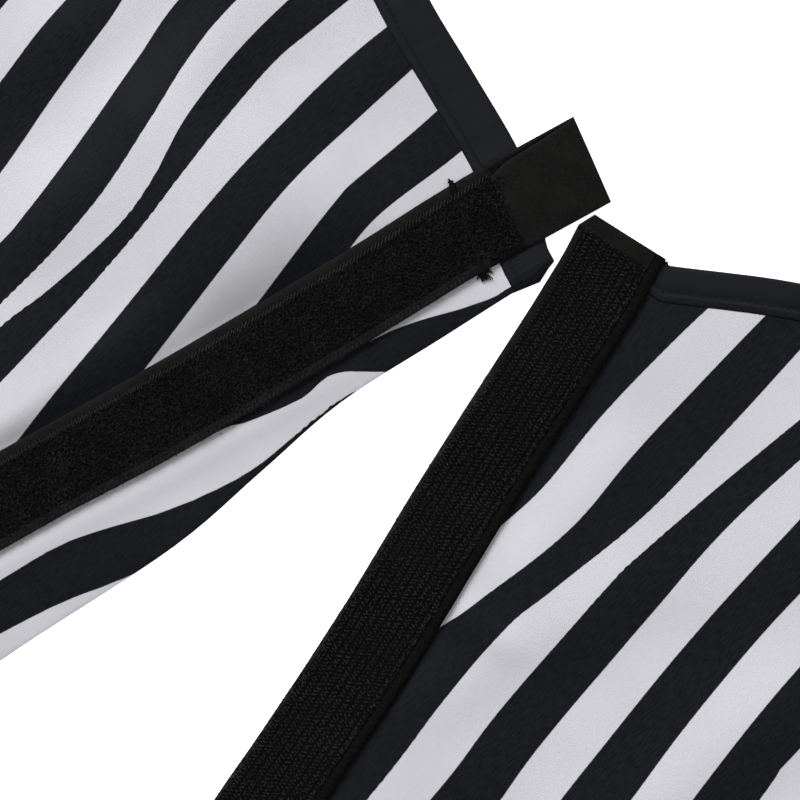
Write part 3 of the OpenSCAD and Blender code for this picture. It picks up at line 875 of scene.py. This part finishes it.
def to_fold(edge, name):
    """An edge whose ends near a flap's fold line are carried on just past that line."""
    point, side = fold_side(name)
    for end, before in ((0, 2), (-1, -3)):
        heading = edge[end] - edge[before]
        heading /= np.linalg.norm(heading)
        depth = (edge[end] - point) @ side
        gap = -depth / (heading @ side)
        if 0 < gap < FOLD_REACH and abs(depth) < FOLD_REACH:
            reached = edge[end] + heading * (gap + PAST_FOLD)
            edge = np.vstack([[reached], edge]) if end == 0 else np.vstack([edge, [reached]])
    return edge


def cut_along(edge, outline):
    """How far back along an edge's first stretch the sheet's outline is, by distance to the left."""
    near = int(np.argmin(np.linalg.norm(outline - edge[0], axis=1)))
    before = outline[np.arange(near, near - 8, -1)] - edge[0]
    normal = normals_of(edge)[0]
    tangent = np.array([normal[1], -normal[0]])
    depth, along = before @ normal, np.minimum(before @ tangent, 0)
    order = np.argsort(depth)
    return lambda distance: np.interp(distance, depth[order], along[order])


def bind(name, edge, width, body, node, start=None):
    """A binding along an edge of the sheet, and its row of stitches."""
    pucker = wave_set(sum(map(ord, name)), 9, 7 * MM, 26 * MM)
    tape = sweep(name, edge, binding_profile(width), BINDING,
                 wave=lambda along: 0.10 * MM * sum_of(pucker, along, 0 * along), start=start)
    settle(tape, body, "edge_binding", node)
    seam = stitches(name + "_stitches", edge, (width - 5.7) * MM, 3.6 * MM, 2.7 * MM, 0.17 * MM,
                    BINDING_TOP - 0.35 * MM, THREAD)
    settle(seam, body, "thread")
    return [tape, seam]


LEFT_NECK_W, RIGHT_NECK_W, HEM_W = 26, 19, 20
BODY_STEP, FLAP_STEP, TAIL_STEP = 7 * MM, 3 * MM, 5 * MM


def mark_trims(piece, edges):
    """Stores each point's distance from the bound edges, less the binding's width."""
    points = plan_of(piece)
    distance = np.full(len(points), 1.0)
    for edge, width in edges:
        for part in np.array_split(evenly(edge, 4 * MM), 12):
            gaps = np.hypot(points[:, None, 0] - part[:, 0], points[:, None, 1] - part[:, 1])
            distance = np.minimum(distance, gaps.min(axis=1) - (width - 3) * MM)
    give_values(piece, "trim", distance)


def build_sheet():
    """All cloth panels with their bindings and hems."""
    trims, panels = {}, {}
    for side, neck_w in (("left", LEFT_NECK_W), ("right", RIGHT_NECK_W)):
        for part, body, step in ((f"{side}_body_panel", "sheet", BODY_STEP),
                                 (f"{side}_chest_flap", f"{side}_flap", FLAP_STEP)):
            if body == "sheet":
                zone, neck, hem, run_step = "body", f"{side}_neck_binding", f"{side}_side_hem", 4 * MM
            else:
                zone, neck, hem, run_step = side, f"{body}_neck_binding", f"{body}_hem", 2.5 * MM
            piece, outline, size = panel(part + "_cloth", part, body, step, zone)
            trims[part], edges = [], []
            for node, width in ((neck, neck_w), (hem, HEM_W)):
                edge = to_fold(edge_run(outline, node, run_step), side + "_flap")
                edges.append((edge, width))
                cut = cut_along(edge, outline) if node == "left_flap_neck_binding" else None
                trims[part] += bind(node + "_tape", edge, width, body, node, cut)
            mark_trims(piece, edges)
            panels[part] = (piece, outline, size)
    piece, outline, size = panel("tail_flap_cloth", "tail_flap_panel", "tail_flap", TAIL_STEP, "body")
    edge = edge_run(outline, "tail_flap_binding", 3 * MM)
    trims["tail_flap_panel"] = bind("tail_flap_binding_tape", edge, HEM_W, "tail_flap", "tail_flap_binding")
    mark_trims(piece, [(edge, HEM_W)])
    panels["tail_flap_panel"] = (piece, outline, size)
    return panels, trims


def spine_tape():
    """Tape over the back seam, with a row of stitches along each side."""
    low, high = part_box("spine_tape")
    half = (high.x - low.x) / 2 / MM
    path = evenly(np.array([[0.0, high.y], [0.0, low.y]]), 5 * MM)
    top = BINDING_TOP / MM
    profile = [(-half, 1.1), (-half, top - 0.4), (-half + 0.8, top), (-half + 3, top + 0.1), (0, top + 0.35),
               (half - 3, top + 0.1), (half - 0.8, top), (half, top - 0.4), (half, 1.1)]
    tape = sweep("spine_tape_cover", path, profile[::-1], BINDING)
    settle(tape, "sheet", "edge_binding", "spine_tape")
    for name, across in (("left", -half + 2.5), ("right", half - 2.5)):
        row = stitches(f"spine_{name}_stitches", path, across * MM, 4 * MM, 3 * MM, 0.28 * MM,
                       BINDING_TOP + 0.05 * MM, THREAD)
        settle(row, "sheet", "thread")


# ---- Chest closure ----
LOOP_EDGE = 5.0 * MM                         # bare webbing beside the pile
PILE_BAND = 5.5 * MM                         # flat sewn border on the pile's other side
GROUND_TOP = STRAP_TOP - 0.6 * MM
TAPE_LOW, TRIM_LOW = STRAP_TOP - 1.5 * MM, STRAP_TOP - 1.6 * MM      # just inside the backing
FOLD_W = 10 * MM                             # plain folded end of the hook strap
CLUMPS = wave_set(61, 40, 2.2 * MM, 7 * MM)
STRAP_WAVES = wave_set(67, 14, 20 * MM, 60 * MM)


def rough_level(z, depth, waves):
    return lambda x, y: z + depth * sum_of(waves, x, y)


def scattered(rng, u0, u1, v0, v1, count):
    """Places spread evenly but irregularly over a rectangle in a strap's frame."""
    columns = max(1, round(math.sqrt(count * (u1 - u0) / (v1 - v0))))
    rows = max(1, round(count / columns))
    u, v = np.meshgrid(np.arange(columns) + 0.5, np.arange(rows) + 0.5)
    u = (u.ravel() + rng.uniform(-0.6, 0.6, u.size)) / columns
    v = (v.ravel() + rng.uniform(-0.6, 0.6, v.size)) / rows
    return u0 + u * (u1 - u0), v0 + v * (v1 - v0)


def standing(feet, heading, lean, reach, rise, curve):
    """Curved filaments: curve lists (share of reach, share of rise). Returns lines and flat."""
    upward = np.stack([-heading[:, 1] * np.sin(lean), heading[:, 0] * np.sin(lean), np.cos(lean)], axis=1)
    forward = np.concatenate([heading, np.zeros((len(heading), 1))], axis=1)
    curve = np.array(curve)
    lines = (feet[:, None] + forward[:, None] * (reach[:, None] * curve[:, 0])[..., None]
             + upward[:, None] * (rise[:, None] * curve[:, 1])[..., None])
    return lines, np.cross(forward, upward)


def toward(angle):
    return np.stack([np.cos(angle), np.sin(angle)], axis=1)


def headings(rng, count):
    return toward(rng.uniform(0, 2 * math.pi, count))


def feet_at(strap, u, v, z):
    plane = strap.place(u, v)
    return np.concatenate([plane, (lift(plane[:, 0], plane[:, 1]) + z)[:, None]], axis=1)


def held_by(strap, node, u, v):
    """Whether places in a strap's frame are on one of its CAD layers."""
    return inside(*strap.unbent(u, v).T, boundary_of(node))


def layer(name, strap, shape, step, low, over, round_off, material, slot="closure_webbing",
          body=None, nodes=()):
    """One layer of a closure strap, over a CAD node's outline or over an outline of its own."""
    if isinstance(shape, str):
        nodes, shape = [shape], strap.bent(boundary_of(shape))
    piece = slab(name, shape, step, level(low), over, round_off, strap, (material,))
    settle(piece, body or strap.body, slot, *nodes)


def pile_start(u):
    """The pile's top border, which isn't square to the strap."""
    return 48 * MM + 0.25 * u + 1.2 * MM * sum_of(CLUMPS, u, 0 * u)


def loop_pile(name, v0, v1, count, seed, body="left_flap"):
    """Soft loops of filament that stand in the tape, in clumps tilted every way."""
    rng = np.random.default_rng(seed)
    u, v = scattered(rng, LOOP_EDGE + 2.9 * MM, STRAP_W - PILE_BAND + 0.6 * MM, v0, v1, count)
    keep = (v > pile_start(u)) & ((v < 70 * MM) | held_by(LOOP, "loop_tape", u, v))
    u, v = u[keep], v[keep]
    count = len(u)
    tuft_wave = sum_of(CLUMPS, u, v)
    turn = 2.2 * sum_of(CLUMPS, v + 1, u) + rng.normal(0, 0.8, count)
    heading = toward(turn)
    span = rng.uniform(1.1, 2.7, count) * MM
    rise = (1.35 + 0.38 * tuft_wave + rng.uniform(-0.3, 0.3, count)).clip(0.6, 2.4) * MM
    lean = rng.uniform(-1.15, 1.15, count)
    t = np.linspace(-0.12, 1.12, 6) * math.pi
    curve = np.stack([-0.5 * np.cos(t), np.sin(t)], axis=1)
    feet = feet_at(LOOP, u, v, GROUND_TOP)
    lines, flat = standing(feet, heading, lean, span, rise, curve)
    radii = np.full(lines.shape[:2], 0.14 * MM) * rng.uniform(0.6, 1.3, count)[:, None]
    settle(tubes(name, lines, radii, flat, PILE), body, "loop_pile")


def tuft(rng, strap, u, v, spread, count, length, radius, z):
    """Loose thread ends that stick out past a strap's edge."""
    outward = strap.across * (1 if u > STRAP_W / 2 else -1)
    angle = np.arctan2(outward[1], outward[0]) + rng.normal(0, 0.35, count)
    heading = toward(angle)
    at = v + rng.uniform(-spread, spread, count)
    feet = feet_at(strap, u + rng.normal(0, 0.4 * MM, count), at, z)
    reach = length * rng.uniform(0.75, 1.05, count) * (1 - 0.75 * np.abs(at - v) / spread)
    rise = rng.uniform(-0.05, 0.15, count) * length
    curve = [(-0.2, -0.3), (0.2, 0.4), (0.5, 0.8), (0.8, 0.5), (1.0, 0.0)]
    lines, flat = standing(feet, heading, rng.uniform(-1.2, 1.2, count), reach, rise, curve)
    lines[..., 2] = np.maximum(lines[..., 2], lift(lines[..., 0], lines[..., 1]) + FABRIC_TOP + radius)
    return lines, np.full(lines.shape[:2], radius), flat


TACK_LEFT, TACK_RIGHT = (-1.6 * MM, 75.0 * MM), (STRAP_W + 0.6 * MM, 84.0 * MM)


def bar_tack():
    """Dense stitches across the loop strap, sunk in the pile, with thread ends at both edges."""
    rng = np.random.default_rng(3)
    share = np.linspace(0, 1, 96)
    u = TACK_LEFT[0] + share * (TACK_RIGHT[0] - TACK_LEFT[0])
    v = TACK_LEFT[1] + share * (TACK_RIGHT[1] - TACK_LEFT[1]) + rng.normal(0, 0.15 * MM, len(u))
    feet = feet_at(LOOP, u, v - 1.5 * MM, GROUND_TOP + 0.25 * MM)
    arch = [(0, -0.6), (0.2, 0.7), (0.5, 1), (0.8, 0.7), (1, -0.6)]
    down = np.tile(LOOP.down, (len(u), 1))
    lines, flat = standing(feet, down, 0 * u, 0 * u + 3.0 * MM, 0 * u + 0.5 * MM, arch)
    parts = [(lines, np.full(lines.shape[:2], 0.24 * MM), flat)]
    z = FABRIC_TOP + 1.0 * MM
    parts.append(tuft(rng, LOOP, -1.0 * MM, TACK_LEFT[1], 1.1 * MM, 16, 2.6 * MM, 0.3 * MM, z))
    parts.append(tuft(rng, LOOP, STRAP_W - 2.0 * MM, TACK_RIGHT[1], 3.0 * MM, 70, 8.0 * MM, 0.34 * MM, z))
    lines, radii, flat = (np.concatenate([part[k] for part in parts]) for k in range(3))
    settle(tubes("bar_tack_stitches", lines, radii, flat, WEBBING), "left_flap", "thread", "loop_bar_tack")


def zigzag(name, u, v0, v1, spacing, width, radius, z):
    """Slanted stitches that hold an edge of the loop tape."""
    v = np.arange(v0, v1, 3 * MM)
    path = LOOP.place(np.full(len(v), u), v)
    row = stitches(name, path, 0.0, spacing, width, radius, z, SEAM, slant=math.radians(50))
    settle(row, "left_flap", "thread")


def length_of(strap, node):
    """How far down a strap's frame a node reaches."""
    _, v = strap.straight(*boundary_of(node).T)
    return float(v.max())


def edge_fuzz(name, strap, u, v0, v1, count, seed, spread=0.5, z=GROUND_TOP):
    """Short broken fibres along a strap's edge."""
    slot, material = ("loop_pile", PILE) if strap is LOOP else ("hook_tape", HOOKS)
    rng = np.random.default_rng(seed)
    v = rng.uniform(v0, v1, count)
    at = np.full(count, u) + rng.normal(0, spread * MM, count)
    feet = feet_at(strap, at, v, z)
    lines, flat = standing(feet, headings(rng, count), rng.uniform(-1.2, 1.2, count),
                           rng.uniform(0.8, 2.2, count) * MM, rng.uniform(0.2, 0.9, count) * MM,
                           [(0, -0.4), (0.3, 0.7), (0.65, 1), (1, 0.6)])
    radii = np.full(lines.shape[:2], 0.11 * MM)
    settle(tubes(name, lines, radii, flat, material), strap.body, slot)


def loop_strap():
    """Backing webbing and pile tape with its loops, edge stitches and bar tack."""
    end = length_of(LOOP, "loop_tape")
    top = rough_level(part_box("loop_backing_strap")[1].z, 0.15 * MM, STRAP_WAVES)
    layer("loop_backing", LOOP, "loop_backing_strap", 3 * MM, SEWN_LOW, top, 0.7 * MM, WEBBING)
    top = rough_level(GROUND_TOP, 0.22 * MM, CLUMPS)
    layer("loop_tape_ground", LOOP, "loop_tape", 1.3 * MM, TAPE_LOW, top, 0.6 * MM, GROUND, "loop_pile")
    thirds = np.linspace(70 * MM, end + 12 * MM, 4)
    loop_pile("loop_pile_top", 44 * MM, thirds[0], 620, 70, "pull_tab")
    for k, name in enumerate(("upper", "middle", "lower")):
        loop_pile(f"loop_pile_{name}", thirds[k], thirds[k + 1], 3400, 71 + k)
    v = np.linspace(TAB_LENGTH + 22 * MM, end - 22 * MM, 60)
    down = evenly(LOOP.place(np.full(60, STRAP_W - PILE_BAND / 2), v), 3 * MM)
    low, high, half = (z / MM for z in (GROUND_TOP - 0.3 * MM, GROUND_TOP, PILE_BAND / 2))
    rim = [(-half + 0.2, low), (-half + 0.3, high + 0.2), (-half + 0.9, high + 0.5), (0, high + 0.35),
           (half - 0.6, high + 0.5), (half, high + 0.2), (half, low)]
    band = sweep("loop_tape_border", down, rim, WEBBING)
    settle(band, "left_flap", "closure_webbing")
    for k, u in enumerate((LOOP_EDGE + 1.2 * MM, LOOP_EDGE + 2.3 * MM)):
        zigzag(f"loop_edge_stitches_{k}", u, TAB_LENGTH + (2 + 3 * k) * MM, end - 26 * MM,
               2.2 * MM, 2.4 * MM, 0.17 * MM, STRAP_TOP + 0.1 * MM)
    zigzag("loop_edge_stitches_right", STRAP_W - 1.8 * MM, TAB_LENGTH + 40 * MM, end - 10 * MM,
           2.6 * MM, 2.2 * MM, 0.15 * MM, STRAP_TOP)
    edge_fuzz("loop_edge_fuzz_right", LOOP, STRAP_W - PILE_BAND / 2, TAB_LENGTH + 30 * MM, end - 24 * MM,
              2400, 93, 1.5, GROUND_TOP + 0.3 * MM)
    edge_fuzz("loop_edge_fuzz_left", LOOP, LOOP_EDGE + 1.9 * MM, TAB_LENGTH + 3 * MM, end - 24 * MM,
              1500, 94, 0.6)
    bar_tack()


def plate_in(strap, corners):
    """Outline of a plain layer in a strap's frame, anticlockwise in the sheet's own."""
    points = subdivided(np.array(corners, float) * MM, 6 * MM)
    return strap.place(points[:, 0], points[:, 1])[::-1]


def tab_level(x, y):
    """The folded tab thins out where the pile starts."""
    _, v = LOOP.measure(x, y)
    return STRAP_TOP + 0.1 * MM - 0.9 * MM * smoothstep((v - 30 * MM) / (26 * MM))


def pull_tab():
    """Plain end of the loop strap, folded back on itself and sewn a little askew, with a dark strip of tape
    ground laid in the fold's gap as painted shadow.
    """
    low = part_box("pull_tab")[0].z
    under = [(0, 0), (50, 5.2), (50, 54.4), (0, 54.4)]
    over = [(0.5, 0.1), (49.8, 5.2), (50, 50), (49.6, 62), (7.0, 55), (3.8, 44), (3.0, 26), (1.9, 10)]
    # Dark strip in the gap between the two layers: painted shadow where the fold's inside lies in shade
    painted_shadow_strip = [(1.0, 1.0), (1.9, 10), (2.9, 26), (3.8, 44), (6.8, 54), (2.2, 54), (1.7, 40), (1.2, 20)]
    for name, corners, step, bottom, top, round_off, material, nodes in (
            ("under", under, 2.2, 0.0, level(low + 0.9 * MM), 0.4, WEBBING, ["pull_tab"]),
            ("over", over, 2.2, 0.8, tab_level, 0.6, WEBBING, []),
            # The dark strip of tape ground here is painted shadow in the fold's gap
            ("painted_shadow_strip", painted_shadow_strip, 1.2, 0.5, level(low + 1.0 * MM), 0.2, GROUND, [])):
        layer("pull_tab_" + name, LOOP, plate_in(LOOP, corners), step * MM, low + bottom * MM, top,
              round_off * MM, material, body="pull_tab", nodes=nodes)


HOOK_PITCH, HOOK_ROWS, HOOK_COUNT = 2.25 * MM, 2.1 * MM, 20      # down a row, between rows, rows
HOOK_CURVE = [(0, -0.25), (0.02, 0.45), (0.14, 0.85), (0.45, 1.0), (0.82, 0.9), (1.0, 0.55)]


def hook_field():
    """Rows of cut monofilament hooks, staggered by half a pitch."""
    rng = np.random.default_rng(81)
    end = length_of(HOOK, "hook_tape")
    stations = np.arange(FOLD_W - 3.0 * MM, end, HOOK_PITCH)
    row, v = np.meshgrid(np.arange(HOOK_COUNT), stations)
    u = 3.2 * MM + row * HOOK_ROWS
    v = v + (row % 2) * HOOK_PITCH / 2
    u, v, row = u.ravel(), v.ravel(), row.ravel()
    edge = 4.2 * MM * (1 - smoothstep(v / (200 * MM))) + 1.0 * MM      # the border is widest at the top
    bare = np.hypot(u - 44 * MM, v - 10 * MM) < 7 * MM                 # no hooks in the top right corner
    on_tape = held_by(HOOK, "hook_tape", u, np.maximum(v, FOLD_W + 0.1 * MM))
    keep = on_tape & (v > 7 * MM + 0.1 * u) & (u > edge) & (u < STRAP_W - RIDGE_W - 2.0 * MM) & ~bare
    u, v, row = u[keep], v[keep], row[keep]
    count = len(u)
    way = np.where(row % 2 == 0, 1.0, -1.0)[:, None]
    angle = math.radians(HOOK_LEAN) + rng.normal(0, 0.4, count)
    heading = toward(angle) * way
    u, v = u + rng.normal(0, 0.17 * MM, count), v + rng.normal(0, 0.17 * MM, count)
    feet = feet_at(HOOK, u, v, GROUND_TOP)
    lines, flat = standing(feet, heading, rng.normal(0, 0.3, count), rng.uniform(0.75, 1.2, count) * MM,
                           rng.uniform(1.0, 1.5, count) * MM, HOOK_CURVE)
    radii = np.full(lines.shape[:2], 0.25 * MM)
    radii[:, -1] = 0.17 * MM
    settle(tubes("hook_field", lines, radii, flat, HOOKS), "right_flap", "hook_tape")


def ridge_level(x, y):
    """Rounded seam with a crease near its inner side."""
    u, v = HOOK.measure(x, y)
    share = np.clip((u - (STRAP_W - RIDGE_W)) / RIDGE_W, 0, 1)
    arch = np.sqrt(np.maximum(1 - (2 * share - 1) ** 2, 0))
    crease = 0.5 * MM * np.exp(-((share - 0.16) / 0.07) ** 2)
    pucker = 0.06 * MM * np.sin(2 * math.pi * v / (3.4 * MM))
    return STRAP_TOP - 1.3 * MM + 1.7 * MM * arch - crease + pucker * arch


def fold_level(x, y):
    """The folded end thins out towards the hooks."""
    _, v = HOOK.measure(x, y)
    thinned = 0.5 * MM * smoothstep((v - 3 * MM) / (7 * MM))
    return STRAP_TOP - 0.15 * MM - thinned + 0.1 * MM * sum_of(STRAP_WAVES, x, y)


def hook_strap():
    """Backing webbing, hook tape, plain folded end and the raised seam ridge beside it."""
    end = length_of(HOOK, "hook_tape")
    top = rough_level(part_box("hook_backing_strap")[1].z, 0.1 * MM, STRAP_WAVES)
    layer("hook_backing", HOOK, "hook_backing_strap", 3 * MM, SEWN_LOW, top, 0.7 * MM, WEBBING)
    top = rough_level(GROUND_TOP, 0.1 * MM, CLUMPS)
    layer("hook_tape_ground", HOOK, "hook_tape", 1.8 * MM, TAPE_LOW, top, 0.5 * MM, GROUND, "hook_tape")
    border = plate_in(HOOK, [(0.4, 12), (3.4, 10), (4.6, 60), (3.6, 130), (2.2, 220), (0.9, 300), (0.4, 300)])
    top = rough_level(STRAP_TOP - 0.35 * MM, 0.08 * MM, STRAP_WAVES)
    layer("hook_strap_border", HOOK, border, 1.5 * MM, TRIM_LOW, top, 0.4 * MM, WEBBING)
    layer("hook_strap_end", HOOK, "hook_strap_fold", 1.5 * MM, TRIM_LOW, fold_level, 0.45 * MM, WEBBING)
    layer("seam_ridge", HOOK, "hook_seam_ridge", 0.9 * MM, SEWN_LOW, ridge_level, 0.3 * MM, GROUND)
    hook_field()
    edge_fuzz("hook_edge_fuzz_left", HOOK, 1.2 * MM, FOLD_W + 90 * MM, end - 30 * MM, 1500, 91)
    edge_fuzz("hook_edge_fuzz_right", HOOK, STRAP_W - RIDGE_W - 1.6 * MM, FOLD_W, end - 20 * MM, 600, 92, 0.3)


# ---- Withers pad, surcingles and catches ----
FOLD_GAP = 0.45 * MM                         # carries straps and patches nearly to their fold line


def withers_pad():
    """Crowned fleece crescent with a clumped pile."""
    outline = boundary_of("withers_pad")
    border = subdivided(outline, 6 * MM)
    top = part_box("withers_pad")[1].z
    clumps = wave_set(101, 60, 7 * MM, 24 * MM)

    def crown(x, y):
        gap = np.min(np.hypot(x[:, None] - border[:, 0], y[:, None] - border[:, 1]), axis=1)
        rise = np.sqrt(1 - (1 - np.clip(gap / (18 * MM), 0, 1)) ** 2)
        low = BINDING_TOP + 1.5 * MM
        return low + (top - low) * rise + 0.55 * MM * sum_of(clumps, x, y) * rise

    pad = slab("withers_pad_fleece", outline, 3.4 * MM, level(SEWN_LOW), crown, 1.2 * MM, None, (FLEECE,))
    settle(pad, "sheet", "fleece", "withers_pad")
    rng = np.random.default_rng(103)
    low, high = outline.min(axis=0), outline.max(axis=0)
    x, y = rng.uniform(low[0], high[0], 20000), rng.uniform(low[1], high[1], 20000)
    keep = inside(x, y, outline)
    x, y = x[keep][:3600], y[keep][:3600]
    count = len(x)
    feet = np.stack([x, y, lift(x, y) + crown(x, y) - 0.7 * MM], axis=1)
    curve = [(-0.3, -0.2), (0.0, 0.6), (0.3, 1.0), (0.7, 0.8), (1.0, 0.2)]
    lines, flat = standing(feet, headings(rng, count), rng.uniform(-1, 1, count),
                           rng.uniform(2.0, 4.5, count) * MM, rng.uniform(1.0, 2.0, count) * MM, curve)
    pile = tubes("withers_pad_pile", lines, np.full(lines.shape[:2], 0.28 * MM), flat, FLEECE)
    settle(pile, "sheet", "fleece")


def flat_stitches(name, corners, spacing, z, body):
    """Stitches along straight runs between corners in the sheet's plane, at height z."""
    lines, flats = [], []
    for a, b in zip(corners[:-1], corners[1:]):
        path = evenly(np.array([a, b], float), spacing)
        heading = (path[-1] - path[0]) / np.linalg.norm(path[-1] - path[0])
        middle = (path[:-1] + path[1:]) / 2
        t = np.linspace(-0.4, 0.4, 5)
        plane = middle[:, None] + heading * (t * spacing)[None, :, None]
        rise = np.broadcast_to(z - 0.2 * MM + 0.12 * MM * (1 - (2.5 * t) ** 2), plane.shape[:2])
        lines.append(np.concatenate([plane, rise[..., None]], axis=2))
        flats.append(np.tile([-heading[1], heading[0], 0.0], (len(middle), 1)))
    lines, flats = np.concatenate(lines), np.concatenate(flats)
    settle(tubes(name, lines, np.full(lines.shape[:2], 0.25 * MM), flats, SEAM), body, "thread")


def stitched_patch(node):
    """Webbing patch sewn to the sheet with a box and a cross."""
    low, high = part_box(node)
    left, right = (low.x, high.x + FOLD_GAP) if low.x > 0 else (low.x - FOLD_GAP, high.x)
    outline = np.array([(left, low.y), (right, low.y), (right, high.y), (left, high.y)])
    patch = slab(node + "_webbing", outline, 3 * MM, level(SEWN_LOW), level(high.z), 0.5 * MM, None, (STRAP,))
    settle(patch, "sheet", "strap_webbing", node)
    x0, x1, y0, y1 = low.x + 5 * MM, high.x - 5 * MM, low.y + 4 * MM, high.y - 4 * MM
    corners = [(x0, y0), (x1, y0), (x1, y1), (x0, y1), (x0, y0), (x1, y1), (x0, y1), (x1, y0)]
    flat_stitches(node + "_stitches", corners, 3.2 * MM, high.z + 0.15 * MM, "sheet")


STRAP_THICK = 1.4 * MM


def hardware_strap(node, body, bar):
    """Webbing from its fold to a loop sewn round a bar, its end tucked under."""
    low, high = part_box(node)
    radius, thick = (high.z - low.z) / 2, STRAP_THICK
    to_bar = 1 if abs(high.x - bar) < abs(low.x - bar) else -1
    fold = low.x - FOLD_GAP if to_bar > 0 else high.x + FOLD_GAP
    centre_z, mid = low.z + radius, radius - thick / 2
    strap_z = centre_z - 1.6 * MM
    angles = np.radians(np.linspace(-160, 160, 28))
    route = [(x, strap_z) for x in np.linspace(fold, bar - to_bar * 12 * MM, 60)]
    route += [(bar - to_bar * 8 * MM, strap_z + 0.2 * MM), (bar - to_bar * 5.2 * MM, strap_z + 1.2 * MM)]
    route += [(bar - to_bar * mid * math.cos(a), centre_z - mid * math.sin(a)) for a in angles]
    route += [(bar - to_bar * 5.4 * MM, strap_z - 0.9 * MM), (bar - to_bar * 9.5 * MM, strap_z - 1.35 * MM)]
    route = np.array(route)
    left = normals_of(route) * thick / 2
    y0, y1 = low.y, high.y
    across = [(y0, 0.45), (y0 + 0.5 * MM, 1.0), ((y0 + y1) / 2, 1.0), (y1 - 0.5 * MM, 1.0), (y1, 0.45)]
    section = [(y, share) for y, share in across] + [(y, -share) for y, share in reversed(across)]
    points = np.array([[(at[0] + side[0] * share, y, at[1] + side[1] * share) for y, share in section]
                       for at, side in zip(route, left)])
    count, stations = len(section), len(route)
    strap = new_piece(node + "_webbing", points.reshape(-1, 3), strip_faces(stations, count))
    give_cloth(strap, np.tile([y for y, _ in section], stations), np.repeat(lengths_along(route), count))
    strap.data.materials.append(STRAP)
    settle(strap, body, "strap_webbing", node)
    for k, gap in enumerate((6.5, 9.5)):
        x = bar - to_bar * gap * MM
        flat_stitches(f"{node}_stitches_{k}", [(x, y0 + 2 * MM), (x, y1 - 2 * MM)], 2.6 * MM,
                      strap_z + thick / 2 + 0.12 * MM, body)


FLOOR_HALF, FLOOR_DROP = 12.0, 0.2 * MM
SKY_STRENGTH = 0.21
# Each sun's azimuth, elevation, strength and spread, with angles in degrees
SUNS = {"key": (170, 40, 3.15, 36), "fill": (-30, 55, 0.35, 50), "rim": (75, 40, 0.45, 40)}
LENS = 110


def build_floor_and_light():
    """Pale floor, soft light and the camera straight above the closure."""
    corners = [(-FLOOR_HALF, -FLOOR_HALF, 0), (FLOOR_HALF, -FLOOR_HALF, 0),
               (FLOOR_HALF, FLOOR_HALF, 0), (-FLOOR_HALF, FLOOR_HALF, 0)]
    floor = new_piece("floor", corners, [(0, 1, 2, 3)])
    floor.location.z = -FLOOR_DROP
    floor.data.materials.append(floor_finish())
    scene = bpy.context.scene
    scene.world = bpy.data.worlds.new("studio")
    scene.world.use_nodes = True
    sky = scene.world.node_tree.nodes["Background"].inputs
    sky["Color"].default_value = (0.98, 0.99, 1.0, 1)
    sky["Strength"].default_value = SKY_STRENGTH
    for name, (azimuth, elevation, strength, spread) in SUNS.items():
        sun = bpy.data.lights.new(name, "SUN")
        sun.energy = strength
        sun.angle = math.radians(spread)
        lamp = bpy.data.objects.new(name, sun)
        lamp.rotation_euler = (math.radians(90 - elevation), 0, math.radians(azimuth + 90))
        scene.collection.objects.link(lamp)
    camera = bpy.data.cameras.new("camera")
    camera.lens = LENS
    distance = VIEW_WIDTH * camera.lens / camera.sensor_width
    seat = bpy.data.objects.new("camera", camera)
    seat.location = (*(CLOSURE + VIEW_MIDDLE), distance)
    seat.rotation_euler = (0, 0, VIEW_TURN)
    scene.collection.objects.link(seat)
    scene.camera = seat
    scene.view_settings.view_transform = "Standard"


panels, trims = build_sheet()
spine_tape()
loop_strap()
pull_tab()
hook_strap()
withers_pad()
for line in ("front", "rear"):
    for kind, pivot in (("surcingle", "hook_pivot"), ("catch", "catch_pivot")):
        stitched_patch(f"{line}_{kind}_patch")
        body = f"{line}_surcingle" if kind == "surcingle" else f"{line}_catch_strap"
        hardware_strap(f"{line}_{kind}_strap", body, JOINTS[f"{line}_{pivot}"]["pos_m"][0])
build_floor_and_light()
for node, item in frame["nodes"].items():
    if not item.hide_render:
        item.data.materials.clear()
        item.data.materials.append(METAL if node.endswith(("slider", "hook", "plate")) else WEBBING)
